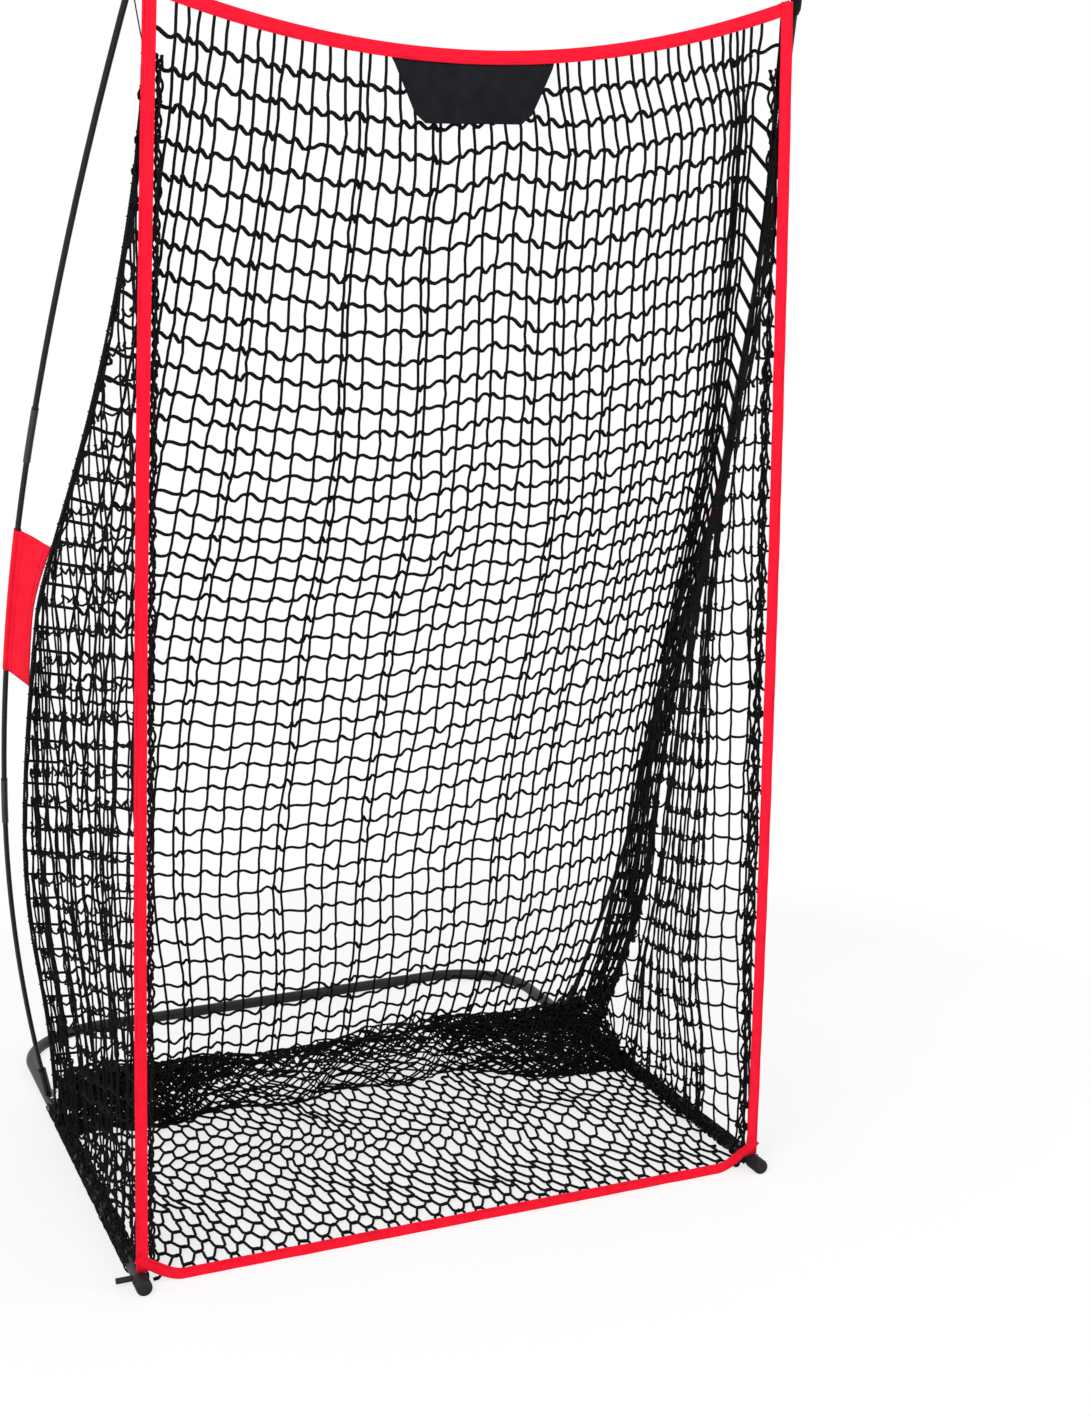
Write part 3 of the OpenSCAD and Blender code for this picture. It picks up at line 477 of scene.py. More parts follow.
BLACK, SOFT_BLACK = (0.0035, 0.0035, 0.004), (0.011, 0.011, 0.012)
# The third red is painted shade: a darker red meant for the webbing's folded edges, where the fold
# falls into shade.
RED, DEEP_RED, FOLD_SHADE_RED = (0.98, 0.008, 0.034), (0.80, 0.004, 0.022), (0.42, 0.002, 0.014)
DULL = {"Specular_IOR_Level": 0.12}
paint = coated("coated_steel", (0.004, 0.004, 0.0045), (0.010, 0.010, 0.011),
               Specular_IOR_Level=0.3)
rubber = coated("rubber", BLACK, SOFT_BLACK, (0.6, 0.8), 450, 0.0002, Specular_IOR_Level=0.3)
moulded = coated("moulded_black", BLACK, (0.014, 0.014, 0.015), (0.42, 0.6), 900,
                 Specular_IOR_Level=0.3)
button_steel = metal("button_steel", (0.42, 0.43, 0.45), (0.68, 0.69, 0.71))
spring_steel = metal("spring_steel", (0.2, 0.21, 0.23), (0.42, 0.43, 0.45))
fibreglass = drawn("fibreglass", (0.004, 0.004, 0.005), (0.013, 0.013, 0.014))
ferrule_steel = coated("ferrule", (0.009, 0.009, 0.01), (0.02, 0.02, 0.022), (0.28, 0.4), 1200)
elastic = twisted("elastic", (0.5, 0.5, 0.48), (0.75, 0.75, 0.73), 900)
black_cord = twisted("black_cord", BLACK, (0.012, 0.012, 0.013), 1100, **DULL)
twine = twisted("net_twine", (0.001, 0.001, 0.0013), (0.006, 0.006, 0.0065), 1500,
                Specular_IOR_Level=0.08)
black_webbing = woven("black_webbing", BLACK, (0.014, 0.014, 0.016), 0.0011, **DULL)
patch_cloth = woven("patch_cloth", (0.003, 0.003, 0.0045), (0.010, 0.010, 0.014), 0.0007,
                    depth=0.0002, **DULL)
red_webbing = woven("red_webbing", DEEP_RED, RED, 0.0012, tilt=(LEAN, 0, 0), **DULL)
# A darker copy of the red webbing, as painted shade along the bands' folded edges. Each band takes
# it as a second material, but no face is set to use it.
red_fold_shade = woven("red_webbing_painted_fold_shade", FOLD_SHADE_RED, DEEP_RED, 0.0012, tilt=(LEAN, 0, 0), **DULL)
red_cloth = woven("red_cloth", DEEP_RED, RED, 0.0008, (0.6, 0.8), 0.0002, tilt=(0.2, 0.3, 0.1),
                  **DULL)
red_thread = twisted("red_thread", (0.3, 0.002, 0.012), (0.5, 0.004, 0.02), 2500, **DULL)

# Each CAD node that stays as it is takes its finish here
FINISHES = {
    "rear_bar": paint, "corner_tube": paint, "side_rail": paint, "pole_socket": paint,
    "snap_button": button_steel, "spring_clip": spring_steel, "end_cap": rubber,
    "cross_pin": moulded, "pole_tip": moulded, "pole_lower": fibreglass,
    "pole_middle": fibreglass, "pole_upper": fibreglass, "ferrule": ferrule_steel,
    "shock_cord": elastic,
}
for node_name, node in frame["nodes"].items():
    for start, finish in FINISHES.items():
        if node_name.startswith(start):
            node.data.materials.clear()
            node.data.materials.append(finish)

# ---- camera ----
CAMERA_AT = np.array([-1.2338, -3.4554 + LINE_Y, 1.6943])
LOOK = np.array([0.37311149, 0.90795076, -0.19082252])
RIGHT = np.array([0.92320169, -0.38375205, -0.02080888])
UP = np.array([0.09212197, 0.16840364, 0.98140397])
camera_data = bpy.data.cameras.new("camera")
camera_data.sensor_fit = "VERTICAL"
camera_data.sensor_height = 36
camera_data.lens = 53.107
camera = put("camera", camera_data)
pose = np.eye(4)
pose[:3, 0], pose[:3, 1], pose[:3, 2], pose[:3, 3] = RIGHT, UP, -LOOK, CAMERA_AT
camera.matrix_world = Matrix(pose.tolist())
bpy.context.scene.camera = camera

# ---- the nets ----
net_low_z = PILE_H + SOFT_GAP + 0.0015
side_low = TUBE_Z + TUBE_R + 0.003
# Gaps between the rear net's columns under the top band, from left to right: a taut cell and a
# few gathered columns at each seam, and pairs that run close together all the way down
REAR_GAPS = np.concatenate([
    [0.030, 0.015, 0.014, 0.017, 0.022, 0.026, 0.027, 0.028], [0.012], np.full(5, 0.0265),
    [0.010], np.full(4, 0.0255), [0.011], np.full(4, 0.0265), [0.025, 0.027, 0.026, 0.026],
    [0.012, 0.0275], np.full(6, 0.0235), np.full(4, 0.0205), [0.017, 0.013],
    [0.007, 0.006, 0.005, 0.007, 0.010, 0.042]])
REAR_COLS = len(REAR_GAPS)
# Its rows' and columns' radii, and how far it swells out behind the line between its seams
ROW_R, COLUMN_R, REAR_SWELL = 1.18 * TWINE_R, 0.88 * TWINE_R, 0.05
# How far below its level the right edge's knots are tied on the rope
TIED_LOW = 0.052


def rear_point(across, v):
    """A point of the rear net: across from -1 to 1, v from 0 under the top band to 1."""
    edge = seam_at(mix(seam_top[2], net_low_z, v))
    half = edge[..., 0] - ROPE_R - NET_BACK - 0.008 * (1 - ease(4 * v))
    x_top = across * (seam_top[0] - ROPE_R - NET_BACK - 0.008)
    top = on_mouth(x_top, top_band_s(x_top) - BAND_W / 4, -NET_BACK) - seam_top
    fade = np.maximum(0, 1 - v / 0.3) ** 2
    # The rows keep the top band's sag nearly all the way down
    hang = 1 - 0.3 * ease(v / 0.7) - 0.7 * ease((v - 0.7) / 0.3)
    return np.stack([across * half, edge[..., 1] + top[..., 1] * fade,
                     edge[..., 2] + top[..., 2] * hang], -1)


def rear_net():
    rng = np.random.default_rng(11)
    table = np.linspace(0, 1, 300)
    path = rear_point(np.full(300, 0.7), table)
    arc = arc_of(path)
    rows = int(arc[-1] / BAR) + 1
    v = np.interp(np.linspace(0, arc[-1], rows), arc, table)[:, None]
    own = REAR_GAPS * np.where(REAR_GAPS > 0.02, rng.uniform(0.84, 1.16, REAR_COLS), 1)
    gaps = mix(np.full(REAR_COLS, REAR_GAPS.mean()), own, 0.5 + 0.5 * ease(v / 0.08))
    gaps = gaps * (1 + drift(rng, rows, REAR_COLS, 7, 0.06))
    total = np.concatenate([np.zeros((rows, 1)), np.cumsum(gaps, axis=1)], 1)
    across = 2 * total / total[:, -1:] - 1
    # Lower down, the seams spread and the columns shift to the right between them
    shift = 0.14 * np.maximum(1 - across ** 2, 0) ** 0.6 * (1 + 0.2 * across)
    across = across + shift * ease((v - 0.02) / 0.45)
    knots = rear_point(across, np.broadcast_to(v, across.shape))
    # The rows lift behind the patch
    knots[..., 2] += 0.026 * np.exp(-((across - 0.10 - 0.12 * ease(v / 0.45)) / 0.13) ** 2) \
        * (1 - 0.85 * ease((v - 0.1) / 0.4)) * ease(v * 12)
    middle = 1 - across ** 4
    height = knots[..., 2]
    knots[..., 1] += REAR_SWELL * middle * ease((2.0 - height) / 0.3) * ease((height - 1.0) / 0.5)
    body = ease(v * 6) * (1 - 0.5 * ease((v - 0.9) * 10)) * middle
    knots[..., 1] += body * drift(rng, rows, REAR_COLS + 1, 6, 0.005)
    knots[..., 2] += ease(v * 20) * rng.normal(0, 0.0018, across.shape)
    # The right edge's knots are tied lower on the rope, and the left edge's are level
    drop = TIED_LOW * ease((v[:, 0] - 0.02) * 14) * (1 - ease((v[:, 0] - 0.47) * 5))
    tied = seam_at(np.maximum(mix(seam_top[2], net_low_z, v[:, 0]) - drop, net_low_z))
    level = seam_at(mix(seam_top[2], net_low_z, v[:, 0]))
    for k, at in ((0, level), (-1, tied)):
        knots[:, k, 1:] = at[:, 1:]
        knots[:, k, 0] = np.sign(k + 0.5) * -(at[:, 0] - ROPE_R - 0.001)
    knots[:, 1:-1] += rng.normal(0, 0.0008, knots[:, 1:-1].shape)
    knots[..., 2] = np.maximum(knots[..., 2], 0.07)
    facing = unit([0.0, 0.85, 0.5])
    shape = Shape()
    for row in knots[1:]:
        shape.tube(slung(row, facing, rng), ROW_R, facing, 4)
    for column in range(REAR_COLS + 1):
        shape.tube(threaded(knots[:, column], rng), COLUMN_R, X_AXIS)
    shape.beads(knots[1:].reshape(-1, 3), KNOT_R, rng)
    return shape.object("rear_netting", twine), rows - 1


# Gaps between the right net's columns, from the band back, high up and low down: a gather beside
# the band, open cells, a close group, then even cells
SIDE_HIGH = np.concatenate([[0.011, 0.009, 0.012, 0.022, 0.030, 0.031, 0.029],
                            [0.011, 0.008, 0.008, 0.013], np.full(40, 0.028)])
SIDE_LOW = np.concatenate([[0.012, 0.010, 0.009, 0.012, 0.047, 0.045, 0.046],
                           [0.012, 0.007, 0.006, 0.010], np.full(40, 0.029)])
# The left net keeps one spacing all the way down, and its twine is drawn finer
SIDE_LEFT = np.concatenate([SIDE_LOW[:4], np.full(len(SIDE_LOW) - 4, 0.027)])
LEFT_FINER = 0.85


def side_net(side):
    rng = np.random.default_rng(23 + side)
    own = rng.uniform(0.82, 1.18, len(SIDE_LOW))
    twine_r = SIDE_R * (1 if side > 0 else LEFT_FINER)
    high, low_down = (SIDE_HIGH, SIDE_LOW) if side > 0 else (SIDE_LEFT, SIDE_LEFT)
    s = np.arange(MOUTH_L * 0.955, side_low * 1.1, -BAR)
    front = on_mouth(side_band_x(s), s, -NET_BACK)
    reach = np.linalg.norm(seam_at(front[:, 2]) - front, axis=1)
    fall = mix(0.15, 0.21, ease((1.4 - front[:, 2]) / 0.8))
    low = np.maximum(front[:, 2] - fall * reach, side_low + 0.0004 * np.arange(len(s))[::-1])
    rope = seam_at(low)
    rear = rope - unit(rope - front) * (ROPE_R + 0.0015)
    depth = np.linalg.norm(rear - front, axis=1)
    # Between the band and the rope the net hangs inwards, most on the right
    hollow, spare, inside = (0.065, 0.34, 0.085) if side > 0 else (0.02, 0.18, 0.02)
    belly = hollow * ease((2.0 - front[:, 2]) / 0.8) \
        * (1 - 0.7 * ease((0.5 - front[:, 2]) / 0.4))
    rows = []
    cols = len(own) + 1
    wander = drift(rng, len(s), cols, 8, 0.003)
    pleat = drift(rng, len(s), cols, 7, 0.005)
    for i in range(len(s)):
        fullness = ease((1.5 - front[i, 2]) / 0.7)
        gaps = own * mix(high, low_down, ease((1.5 - front[i, 2]) / 0.6))
        offset = np.concatenate([[0], np.cumsum(gaps)])
        raw = np.maximum.accumulate(offset + wander[i] * (offset > 0.04))
        kept = raw < depth[i] + mix(0.05, spare, fullness)
        room = min(mix(0.014, 0.10, fullness), depth[i] * 0.8)
        d = squeeze(raw[kept], depth[i], room, mix(0.03, 0.16, fullness))
        t = d / depth[i]
        line = front[i] + (rear[i] - front[i]) * t[:, None]
        line[:, 0] += pleat[i, :len(t)] * np.minimum(t * 12, 1) * np.minimum((1 - t) * 8, 1) \
            - belly[i] * np.sin(math.pi * t ** 0.66)
        # Its spare width hangs in a bundle inside the rope, below the sleeve
        fold = np.maximum(0, (d - depth[i] + room) / room)
        line[:, 0] -= inside * fullness * np.sin(math.pi * np.minimum(fold * 1.1, 1)) \
            * (0.75 + 0.25 * np.sin(9 * fold + 0.3 * i))
        line[1:] += rng.normal(0, 0.0013, (len(t) - 1, 3))
        line[1:, 2] += rng.normal(0, 0.0022, len(t) - 1) + 0.008 * rng.normal(size=len(t) - 1) \
            * fold[1:]
        line[:, 2] = np.maximum(line[:, 2], side_low)
        rows.append(line)
    shape = Shape()
    for line in rows:
        shape.tube(mirror(hanging(line, X_AXIS, rng), side), twine_r, X_AXIS)
    for k in range(1, max(len(line) for line in rows)):
        column = np.array([line[k] for line in rows if len(line) > k])
        if len(column) > 1:
            shape.tube(mirror(threaded(column, rng), side), 0.85 * twine_r, X_AXIS)
    shape.beads(mirror(np.concatenate([line[1:] for line in rows]), side), 1.5 * twine_r, rng)
    return shape.object("side_netting_" + sided(side), twine)


def sided(side):
    return "right" if side > 0 else "left"


pile_x = RAIL_X - TUBE_R - SOFT_GAP


def pile_front(x):
    return (PILE_AT - 0.150 * ease((x / pile_x - 0.35) / 0.6)
            + 0.020 * np.cos(np.radians(x / pile_x * 800)))


def leaving(a, b, way, rng, steps=5):
    """A bar that leaves its first knot along a way and reaches its second along it too."""
    pull = np.linalg.norm(b - a) * rng.uniform(0.35, 0.8)
    return hermite(a, b, pull * way, pull * way * rng.uniform(0.4, 1), np.linspace(0, 1, steps))


def cell_bars(rows, cols):
    """The bars of a net of flat cells: a knot's row and column, the column of the knot that the
    bar reaches in the next row, and which way it goes."""
    for row in range(rows):
        for col in range(cols + 1):
            right = col + row % 2
            for k in (right - 1, right):
                if 0 <= k <= cols:
                    yield row, col, k, np.sign(k - right + 0.5)


FLOOR_LIE = 1.5 * FLOOR_KNOT_R


def floor_net():
    rng = np.random.default_rng(37)
    wide, deep = 0.0430, 0.0360
    cols, rows = int(2 * pile_x / wide), 21
    shape = Shape()
    x = (np.arange(cols + 1) - cols / 2) * wide
    y = 0.006 + np.arange(rows + 3) * deep
    grid_x, grid_y = np.meshgrid(x, y)
    grid_x = grid_x + (np.arange(len(y)) % 2 * wide / 2)[:, None]
    warp_x = ripple(rng, grid_x, grid_y, 0.42, 0.012) + ripple(rng, grid_x, grid_y, 0.16, 0.004)
    warp_y = ripple(rng, grid_x, grid_y, 0.5, 0.020) + ripple(rng, grid_x, grid_y, 0.17, 0.006)
    fade = ease(grid_y / 0.12)
    px = np.clip(grid_x + warp_x * fade, -pile_x, pile_x)
    py = np.maximum(grid_y + warp_y * fade, 0.006)
    pz = FLOOR_LIE + 0.006 * np.abs(ripple(rng, px, py, 0.13, 0.5)) * fade
    knots = np.stack([px, py, pz], -1) + rng.normal(0, 0.0016, px.shape + (3,))
    knots[..., 2] = np.maximum(knots[..., 2], FLOOR_LIE)
    behind = knots[..., 1] > pile_front(knots[..., 0]) + 0.03
    knot_half = rng.uniform(0.0035, 0.0065, px.shape)[..., None] * unit(
        X_AXIS + rng.normal(0, 0.22, px.shape)[..., None] * Y_AXIS)
    bars = 0
    for j, i, k, way in cell_bars(len(y) - 1, cols):
        if not (behind[j, i] or behind[j + 1, k]):
            a = knots[j, i] + way * knot_half[j, i]
            b = knots[j + 1, k] - way * knot_half[j + 1, k]
            bar = leaving(a, b, way * X_AXIS, rng)
            bar[:, 2] = np.maximum(bar[:, 2], FLOOR_R + 0.0003)
            shape.tube(bar, FLOOR_R, Z_AXIS)
            bars += 1
    for knot, half in zip(knots[~behind], knot_half[~behind]):
        shape.tube(np.array([knot - half, knot, knot + half]), 1.25 * FLOOR_R, Z_AXIS)
    shape.beads(knots[~behind], FLOOR_KNOT_R, rng, 1.5)
    return shape.object("floor_netting", twine), bars, (len(y) - 1) * deep


PILE_R = 0.0021
# The pile's outline from its front round to its back: the share of the way, of the depth and of
# the height
MOUND_Q = [0, 0.10, 0.28, 0.46, 0.62, 0.80, 0.92, 1]
MOUND_Y = [0, 0.02, 0.08, 0.24, 0.48, 0.76, 0.94, 1]
MOUND_Z = [0, 0.20, 0.58, 0.90, 1.00, 0.92, 0.50, 0]


def heap(shape, rng, x0, x1, wide, rows, high, rough=1.0, lay=0.0):
    """A layer of net drawn into flat cells over the pile's mound, between x0 and x1."""
    cols = max(int(abs(x1 - x0) / wide), 2)
    j, i = np.meshgrid(np.arange(rows + 1), np.arange(cols + 1), indexing="ij")
    x = mix(x0, x1, (i + j % 2 / 2 - 0.25) / cols)
    q = j / rows + ripple(rng, x * 3, j / rows, 1.0, 0.022 * rough)
    x = x + ripple(rng, x * 4, q, 0.5, 0.007 * rough) + ripple(rng, x * 12, q * 4, 1.0, 0.003)
    x = np.where(np.abs(x) > pile_x, np.sign(x) * (2 * pile_x - np.abs(x)), x)
    front, back = pile_front(x) + 0.004, PILE_AT + PILE_DEPTH - 0.004
    y = mix(front, back, np.interp(q, MOUND_Q, MOUND_Y)) \
        + ripple(rng, x * 8, q * 6, 1.0, 0.004 * rough)
    crest = high * (0.92 + ripple(rng, x * 3, x * 0, 1.0, 0.07))
    z = lay + crest * np.interp(q, MOUND_Q, MOUND_Z) \
        * (1 + ripple(rng, x * 10, q * 7, 1.0, 0.07 * rough))
    knots = np.stack([x, y, np.minimum(z, PILE_H)], -1) + rng.normal(0, 0.002, x.shape + (3,))
    knots[..., 2] = np.maximum(knots[..., 2], FLOOR_LIE)
    for row, col, k, way in cell_bars(rows, cols):
        way = unit(X_AXIS * np.sign(x1 - x0) * way + rng.normal(0, 0.15, 3))
        bar = leaving(knots[row, col], knots[row + 1, k], way, rng, 4)
        bar[:, 2] = np.maximum(bar[:, 2], PILE_R + 0.0003)
        shape.tube(bar, PILE_R, Z_AXIS + 0.4 * Y_AXIS, 4)
    shape.beads(knots.reshape(-1, 3)[::2], 1.4 * PILE_R, rng, 1.5)


def net_pile():
    """The spare net: two loose layers all across, and tangled heaps at its two ends."""
    rng = np.random.default_rng(41)
    shape = Shape()
    heap(shape, rng, -pile_x, pile_x, 0.035, 27, 0.108)
    heap(shape, rng, -pile_x, pile_x, 0.043, 18, 0.084, 1.3)
    for side in (-1, 1):
        for start, high in ((0.25, 0.104), (0.35, 0.112), (0.31, 0.080), (0.40, 0.060),
                            (0.45, 0.108)):
            heap(shape, rng, side * start, side * pile_x, 0.030, 16, high, 1.7, 0.004)
    return shape.object("gathered_netting", twine)


rear_piece, rear_rows = rear_net()
side_pieces = {side: side_net(side) for side in (-1, 1)}
floor_piece, floor_bars, floor_long = floor_net()
pile_piece = net_pile()


def stand_for(piece, slot, *nodes):
    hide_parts(*nodes)


stand_for(rear_piece, "net_twine", "rear_net")
stand_for(floor_piece, "net_twine", "floor_net")
stand_for(pile_piece, "net_twine", "net_pile")
for side, piece in side_pieces.items():
    stand_for(piece, "net_twine", "side_net_" + sided(side))


# ---- bands ----
WEB_T = 0.0011


def band_grid(centre, out, ahead, width, rng):
    """Webbing folded in two over the net's edge, with its fold on the out side."""
    n = len(centre)
    across = np.array([-0.5, -0.36, -0.30, -0.1, 0.2, 0.44, 0.49, 0.5, 0.49, 0.44, 0.2, -0.1,
                       -0.30, -0.36, -0.5])
    lift = np.array([0.95, 0.95, 0.55, 0.95, 1, 0.95, 0.6, 0, -0.6, -0.95, -1, -0.95, -0.55,
                     -0.95, -0.95]) * (BAND_T - WEB_T) / 2
    at = np.arange(n)
    sway = ripple(rng, at * 0.01, at * 0, 0.11, 0.0004)[:, None]
    puff = 1 + ripple(rng, at * 0.01, at * 0, 0.05, 0.06)[:, None]
    return (centre[:, None] + out[:, None] * (across * width)[None, :, None]
            + ahead * (lift[None] * puff + sway)[..., None])


def stitch_row(shape, line, facing, pitch=0.006, radius=0.0004):
    """A row of stitches laid along a line of points."""
    arc = arc_of(line)
    for start in np.arange(pitch / 2, arc[-1] - pitch, pitch):
        at = start + np.array([0, 0.35, 0.65]) * pitch
        bit = along_line(line, arc, at) + facing * np.array([[-0.0002], [0.0003], [-0.0002]])
        shape.tube(bit, radius, facing, 4)


AHEAD = on_mouth(0, 0, 1) - on_mouth(0, 0, 0)


def band(name, node, xs, s, w, width, seed, side=1):
    """A band along a line of the mouth's plane, with its stitches."""
    rng = np.random.default_rng(seed)
    centre = on_mouth(xs, s, w)
    way = unit(np.gradient(centre, axis=0))
    out = np.cross(way, AHEAD)
    grid = band_grid(centre, out, AHEAD, width, rng)
    shape = Shape()
    shape.sheet(mirror(grid, side) if side > 0 else mirror(grid, side)[::-1], WEB_T)
    # The second material is the painted fold shade; every face keeps the first.
    piece = shape.object(name, red_webbing, red_fold_shade)
    thread = Shape()
    for face in (-1, 1):
        line = centre - out * 0.33 * width + AHEAD * face * (BAND_T / 2 - 0.0003)
        stitch_row(thread, mirror(line, side), mirror(AHEAD, side) * face)
    seam_piece = thread.object(name + "_stitches", red_thread)
    stand_for(piece, "red_webbing", node)


def bands():
    for side in (-1, 1):
        s = np.linspace(MOUTH_L + BAND_W / 2, (TUBE_Z + TUBE_R + CAP_WALL + SOFT_GAP)
                        / math.cos(LEAN), 230)
        band("side_webbing_" + sided(side), "side_band_" + sided(side), side_band_x(s), s, 0,
             BAND_W, 51 + side, side)
    # The top band's ends pass behind the side bands
    x = np.linspace(-1, 1, 130) * (MOUTH_W / 2 + 0.008)
    tuck = ease((np.abs(x) - (MOUTH_W / 2 - BAND_W / 2 - 0.006)) / 0.008)
    band("top_webbing", "top_band", x[::-1], top_band_s(x[::-1]), -0.0036 * tuck[::-1],
         BAND_W, 57)
    # The bottom band's ends rise and cross in front of the side bands
    x = np.linspace(-1, 1, 170) * (BOTTOM_END + 0.018)
    lap = ease((np.abs(x) - BOTTOM_END + 0.010) / 0.010)
    band("bottom_webbing", "bottom_band", x, bottom_band_s(x), 0.0036 * lap, BAND_W, 58)


bands()


def header_patch():
    rng = np.random.default_rng(61)
    rows, cols = 26, 64
    v = np.linspace(0, 1, rows)[:, None]
    u = np.linspace(-1, 1, cols)[None]
    low = top_band_s(-PATCH_OFF) - BAND_W / 2 - SOFT_GAP - PATCH_H
    cut_v = 1 - PATCH_CUT / PATCH_H
    half = np.where(v < cut_v, mix(PATCH_W / 2, PATCH_LOW_W / 2 + 0.004, v / cut_v),
                    PATCH_LOW_W / 2 + 0.004 - (v - cut_v) / (1 - cut_v) * (PATCH_CUT + 0.004))
    x = -PATCH_OFF + u * half
    top = top_band_s(x) - BAND_W / 2 + 0.003
    s = mix(top, low, v)
    # A turned hem stands a little proud all round
    edge = np.minimum((1 - np.abs(u)) * half, (1 - v) * PATCH_H)
    hem = 0.0005 * (1 - ease((edge - 0.007) / 0.0015))
    w = 0.0016 + hem + ripple(rng, x, s, 0.09, 0.0004) + 0.0012 * np.sin(math.pi * v) ** 2
    w = w - 0.0042 * (1 - ease(v * 8))
    shape = Shape()
    face = on_mouth(x, s, w)
    shape.sheet(face, WEB_T)
    piece = shape.object("header_cloth", patch_cloth)
    thread = Shape()
    i = int((cols - 1) * 0.025)
    border = np.concatenate([face[2:-2, i], face[-3, i:-i], face[2:-2, -1 - i][::-1]])
    stitch_row(thread, border + AHEAD * 0.0006, AHEAD, 0.004, 0.00035)
    seam_piece = thread.object("header_stitches", black_cord)
    stand_for(piece, "black_webbing", "header_patch")


header_patch()


# ---- sleeves, pockets, ropes and ties ----
def side_sleeve(side):
    """Cloth that wraps the pole and comes back to the net's seam as a double flap."""
    rng = np.random.default_rng(71 + side)
    rows = 46
    along = np.linspace(-0.5, 0.5, rows)
    s = sleeve_s + SLEEVE_L * along
    axis = pole_dir(s)
    centre = pole_at(s)
    target = seam_at((centre + flap_dir * (POLE_R + SLEEVE_W + ROPE_R))[:, 2])
    way = target - centre
    way = way - (way * axis).sum(1, keepdims=True) * axis
    lift = ((target - centre) * axis).sum(1, keepdims=True) * axis
    reach = np.linalg.norm(way, axis=1) - ROPE_R - SOFT_GAP
    # The flap's inner edge is cut hollow between its two sewn corners
    reach = reach - 0.006 * (1 - (2 * along) ** 2)
    way = unit(way)
    side_dir = np.cross(axis, way)
    ring_r = POLE_R + SLEEVE_GAP + 0.0006
    steps = 14
    turn = np.linspace(0.32, 2 * math.pi - 0.32, 20)
    grid = []
    for i in range(rows):
        share = np.linspace(1, 0, steps)[:-1]
        start = ring_r * math.cos(0.32)
        run = start + (reach[i] - start) * share
        off = 0.0007 + (ring_r * math.sin(0.32) - 0.0007) * np.exp(-(run - start) / 0.006)
        wave = ripple(rng if i == 0 else np.random.default_rng(5), run, run * 0 + s[i], 0.12,
                      0.0018) * np.sin(math.pi * share) ** 0.5
        climb = share[:, None] * lift[i] * reach[i] / np.linalg.norm(target[i] - centre[i])
        flat = centre[i] + run[:, None] * way[i]
        upper, lower = (flat + lift_off[:, None] * side_dir[i] + climb
                        for lift_off in (off + wave, wave - off))
        ring = centre[i] + ring_r * (np.cos(turn)[:, None] * way[i]
                                     + np.sin(turn)[:, None] * side_dir[i])
        grid.append(np.concatenate([upper, ring, lower[::-1]]))
    grid = mirror(np.array(grid), side)
    shape = Shape()
    shape.sheet(grid if side < 0 else grid[::-1], 0.0010)
    piece = shape.object("side_sleeve_cloth_" + sided(side), red_cloth)
    thread = Shape()
    for sign in (-1, 1):
        for column in (11, 2):
            row = np.array([g[column if sign > 0 else -1 - column] for g in grid])
            lay = mirror(side_dir, side) * sign
            stitch_row(thread, row + lay * 0.0006, lay.mean(0), 0.005, 0.00035)
    seam_piece = thread.object("side_sleeve_stitches_" + sided(side), red_thread)
    stand_for(piece, "red_cloth", "side_sleeve_" + sided(side))


def corner_pocket(side):
    """A webbing pocket over the pole's tip, its mouth open below."""
    axis = pole_dir(pole_l)
    inward = unit(-X_AXIS + axis[0] * axis)
    across = np.cross(axis, inward)
    up = np.concatenate([np.linspace(-POCKET_DOWN, POCKET_R * 0.7, 26),
                         POCKET_R * (0.7 + 1.25 * np.sin(np.linspace(0.1, math.pi / 2, 9)))])
    radius = np.concatenate([
        POCKET_R - 0.0012 - 0.002 * (1 - ease(np.linspace(0, 1, 26) * 4)),
        (POCKET_R - 0.0012) * np.cos(np.linspace(0.1, math.pi / 2 - 0.12, 9)) ** 0.6])
    turn = np.linspace(0.04, 2 * math.pi - 0.04, 34)
    spread = np.cos(turn)[:, None] * inward + np.sin(turn)[:, None] * across
    fold = 1 + 0.02 * np.sin(turn * 5) * np.linspace(1, 0.2, len(up))[:, None]
    grid = (pole_at(pole_l) + axis * up[:, None, None]
            + (radius[:, None] * fold)[..., None] * spread[None])
    shape = Shape()
    shape.sheet(mirror(grid, side) if side < 0 else mirror(grid, side)[::-1], 0.0011)
    piece = shape.object("corner_pocket_cloth_" + sided(side), black_webbing)
    stand_for(piece, "black_webbing", "corner_pocket_" + sided(side))


def braid(shape, line, radius, facing, pitch, plies=3, step=0.004):
    """A rope of plies twisted round a line."""
    arc = arc_of(line)
    at = np.linspace(0, arc[-1], int(arc[-1] / step) + 2)
    core = along_line(line, arc, at)
    way = unit(np.gradient(core, axis=0))
    side = unit(np.cross(way, facing))
    up = np.cross(side, way)
    for ply in range(plies):
        turn = (at / pitch + ply / plies) * 2 * math.pi
        off = 0.46 * radius * (np.cos(turn)[:, None] * side + np.sin(turn)[:, None] * up)
        shape.tube(core + off, 0.54 * radius, facing, 6)


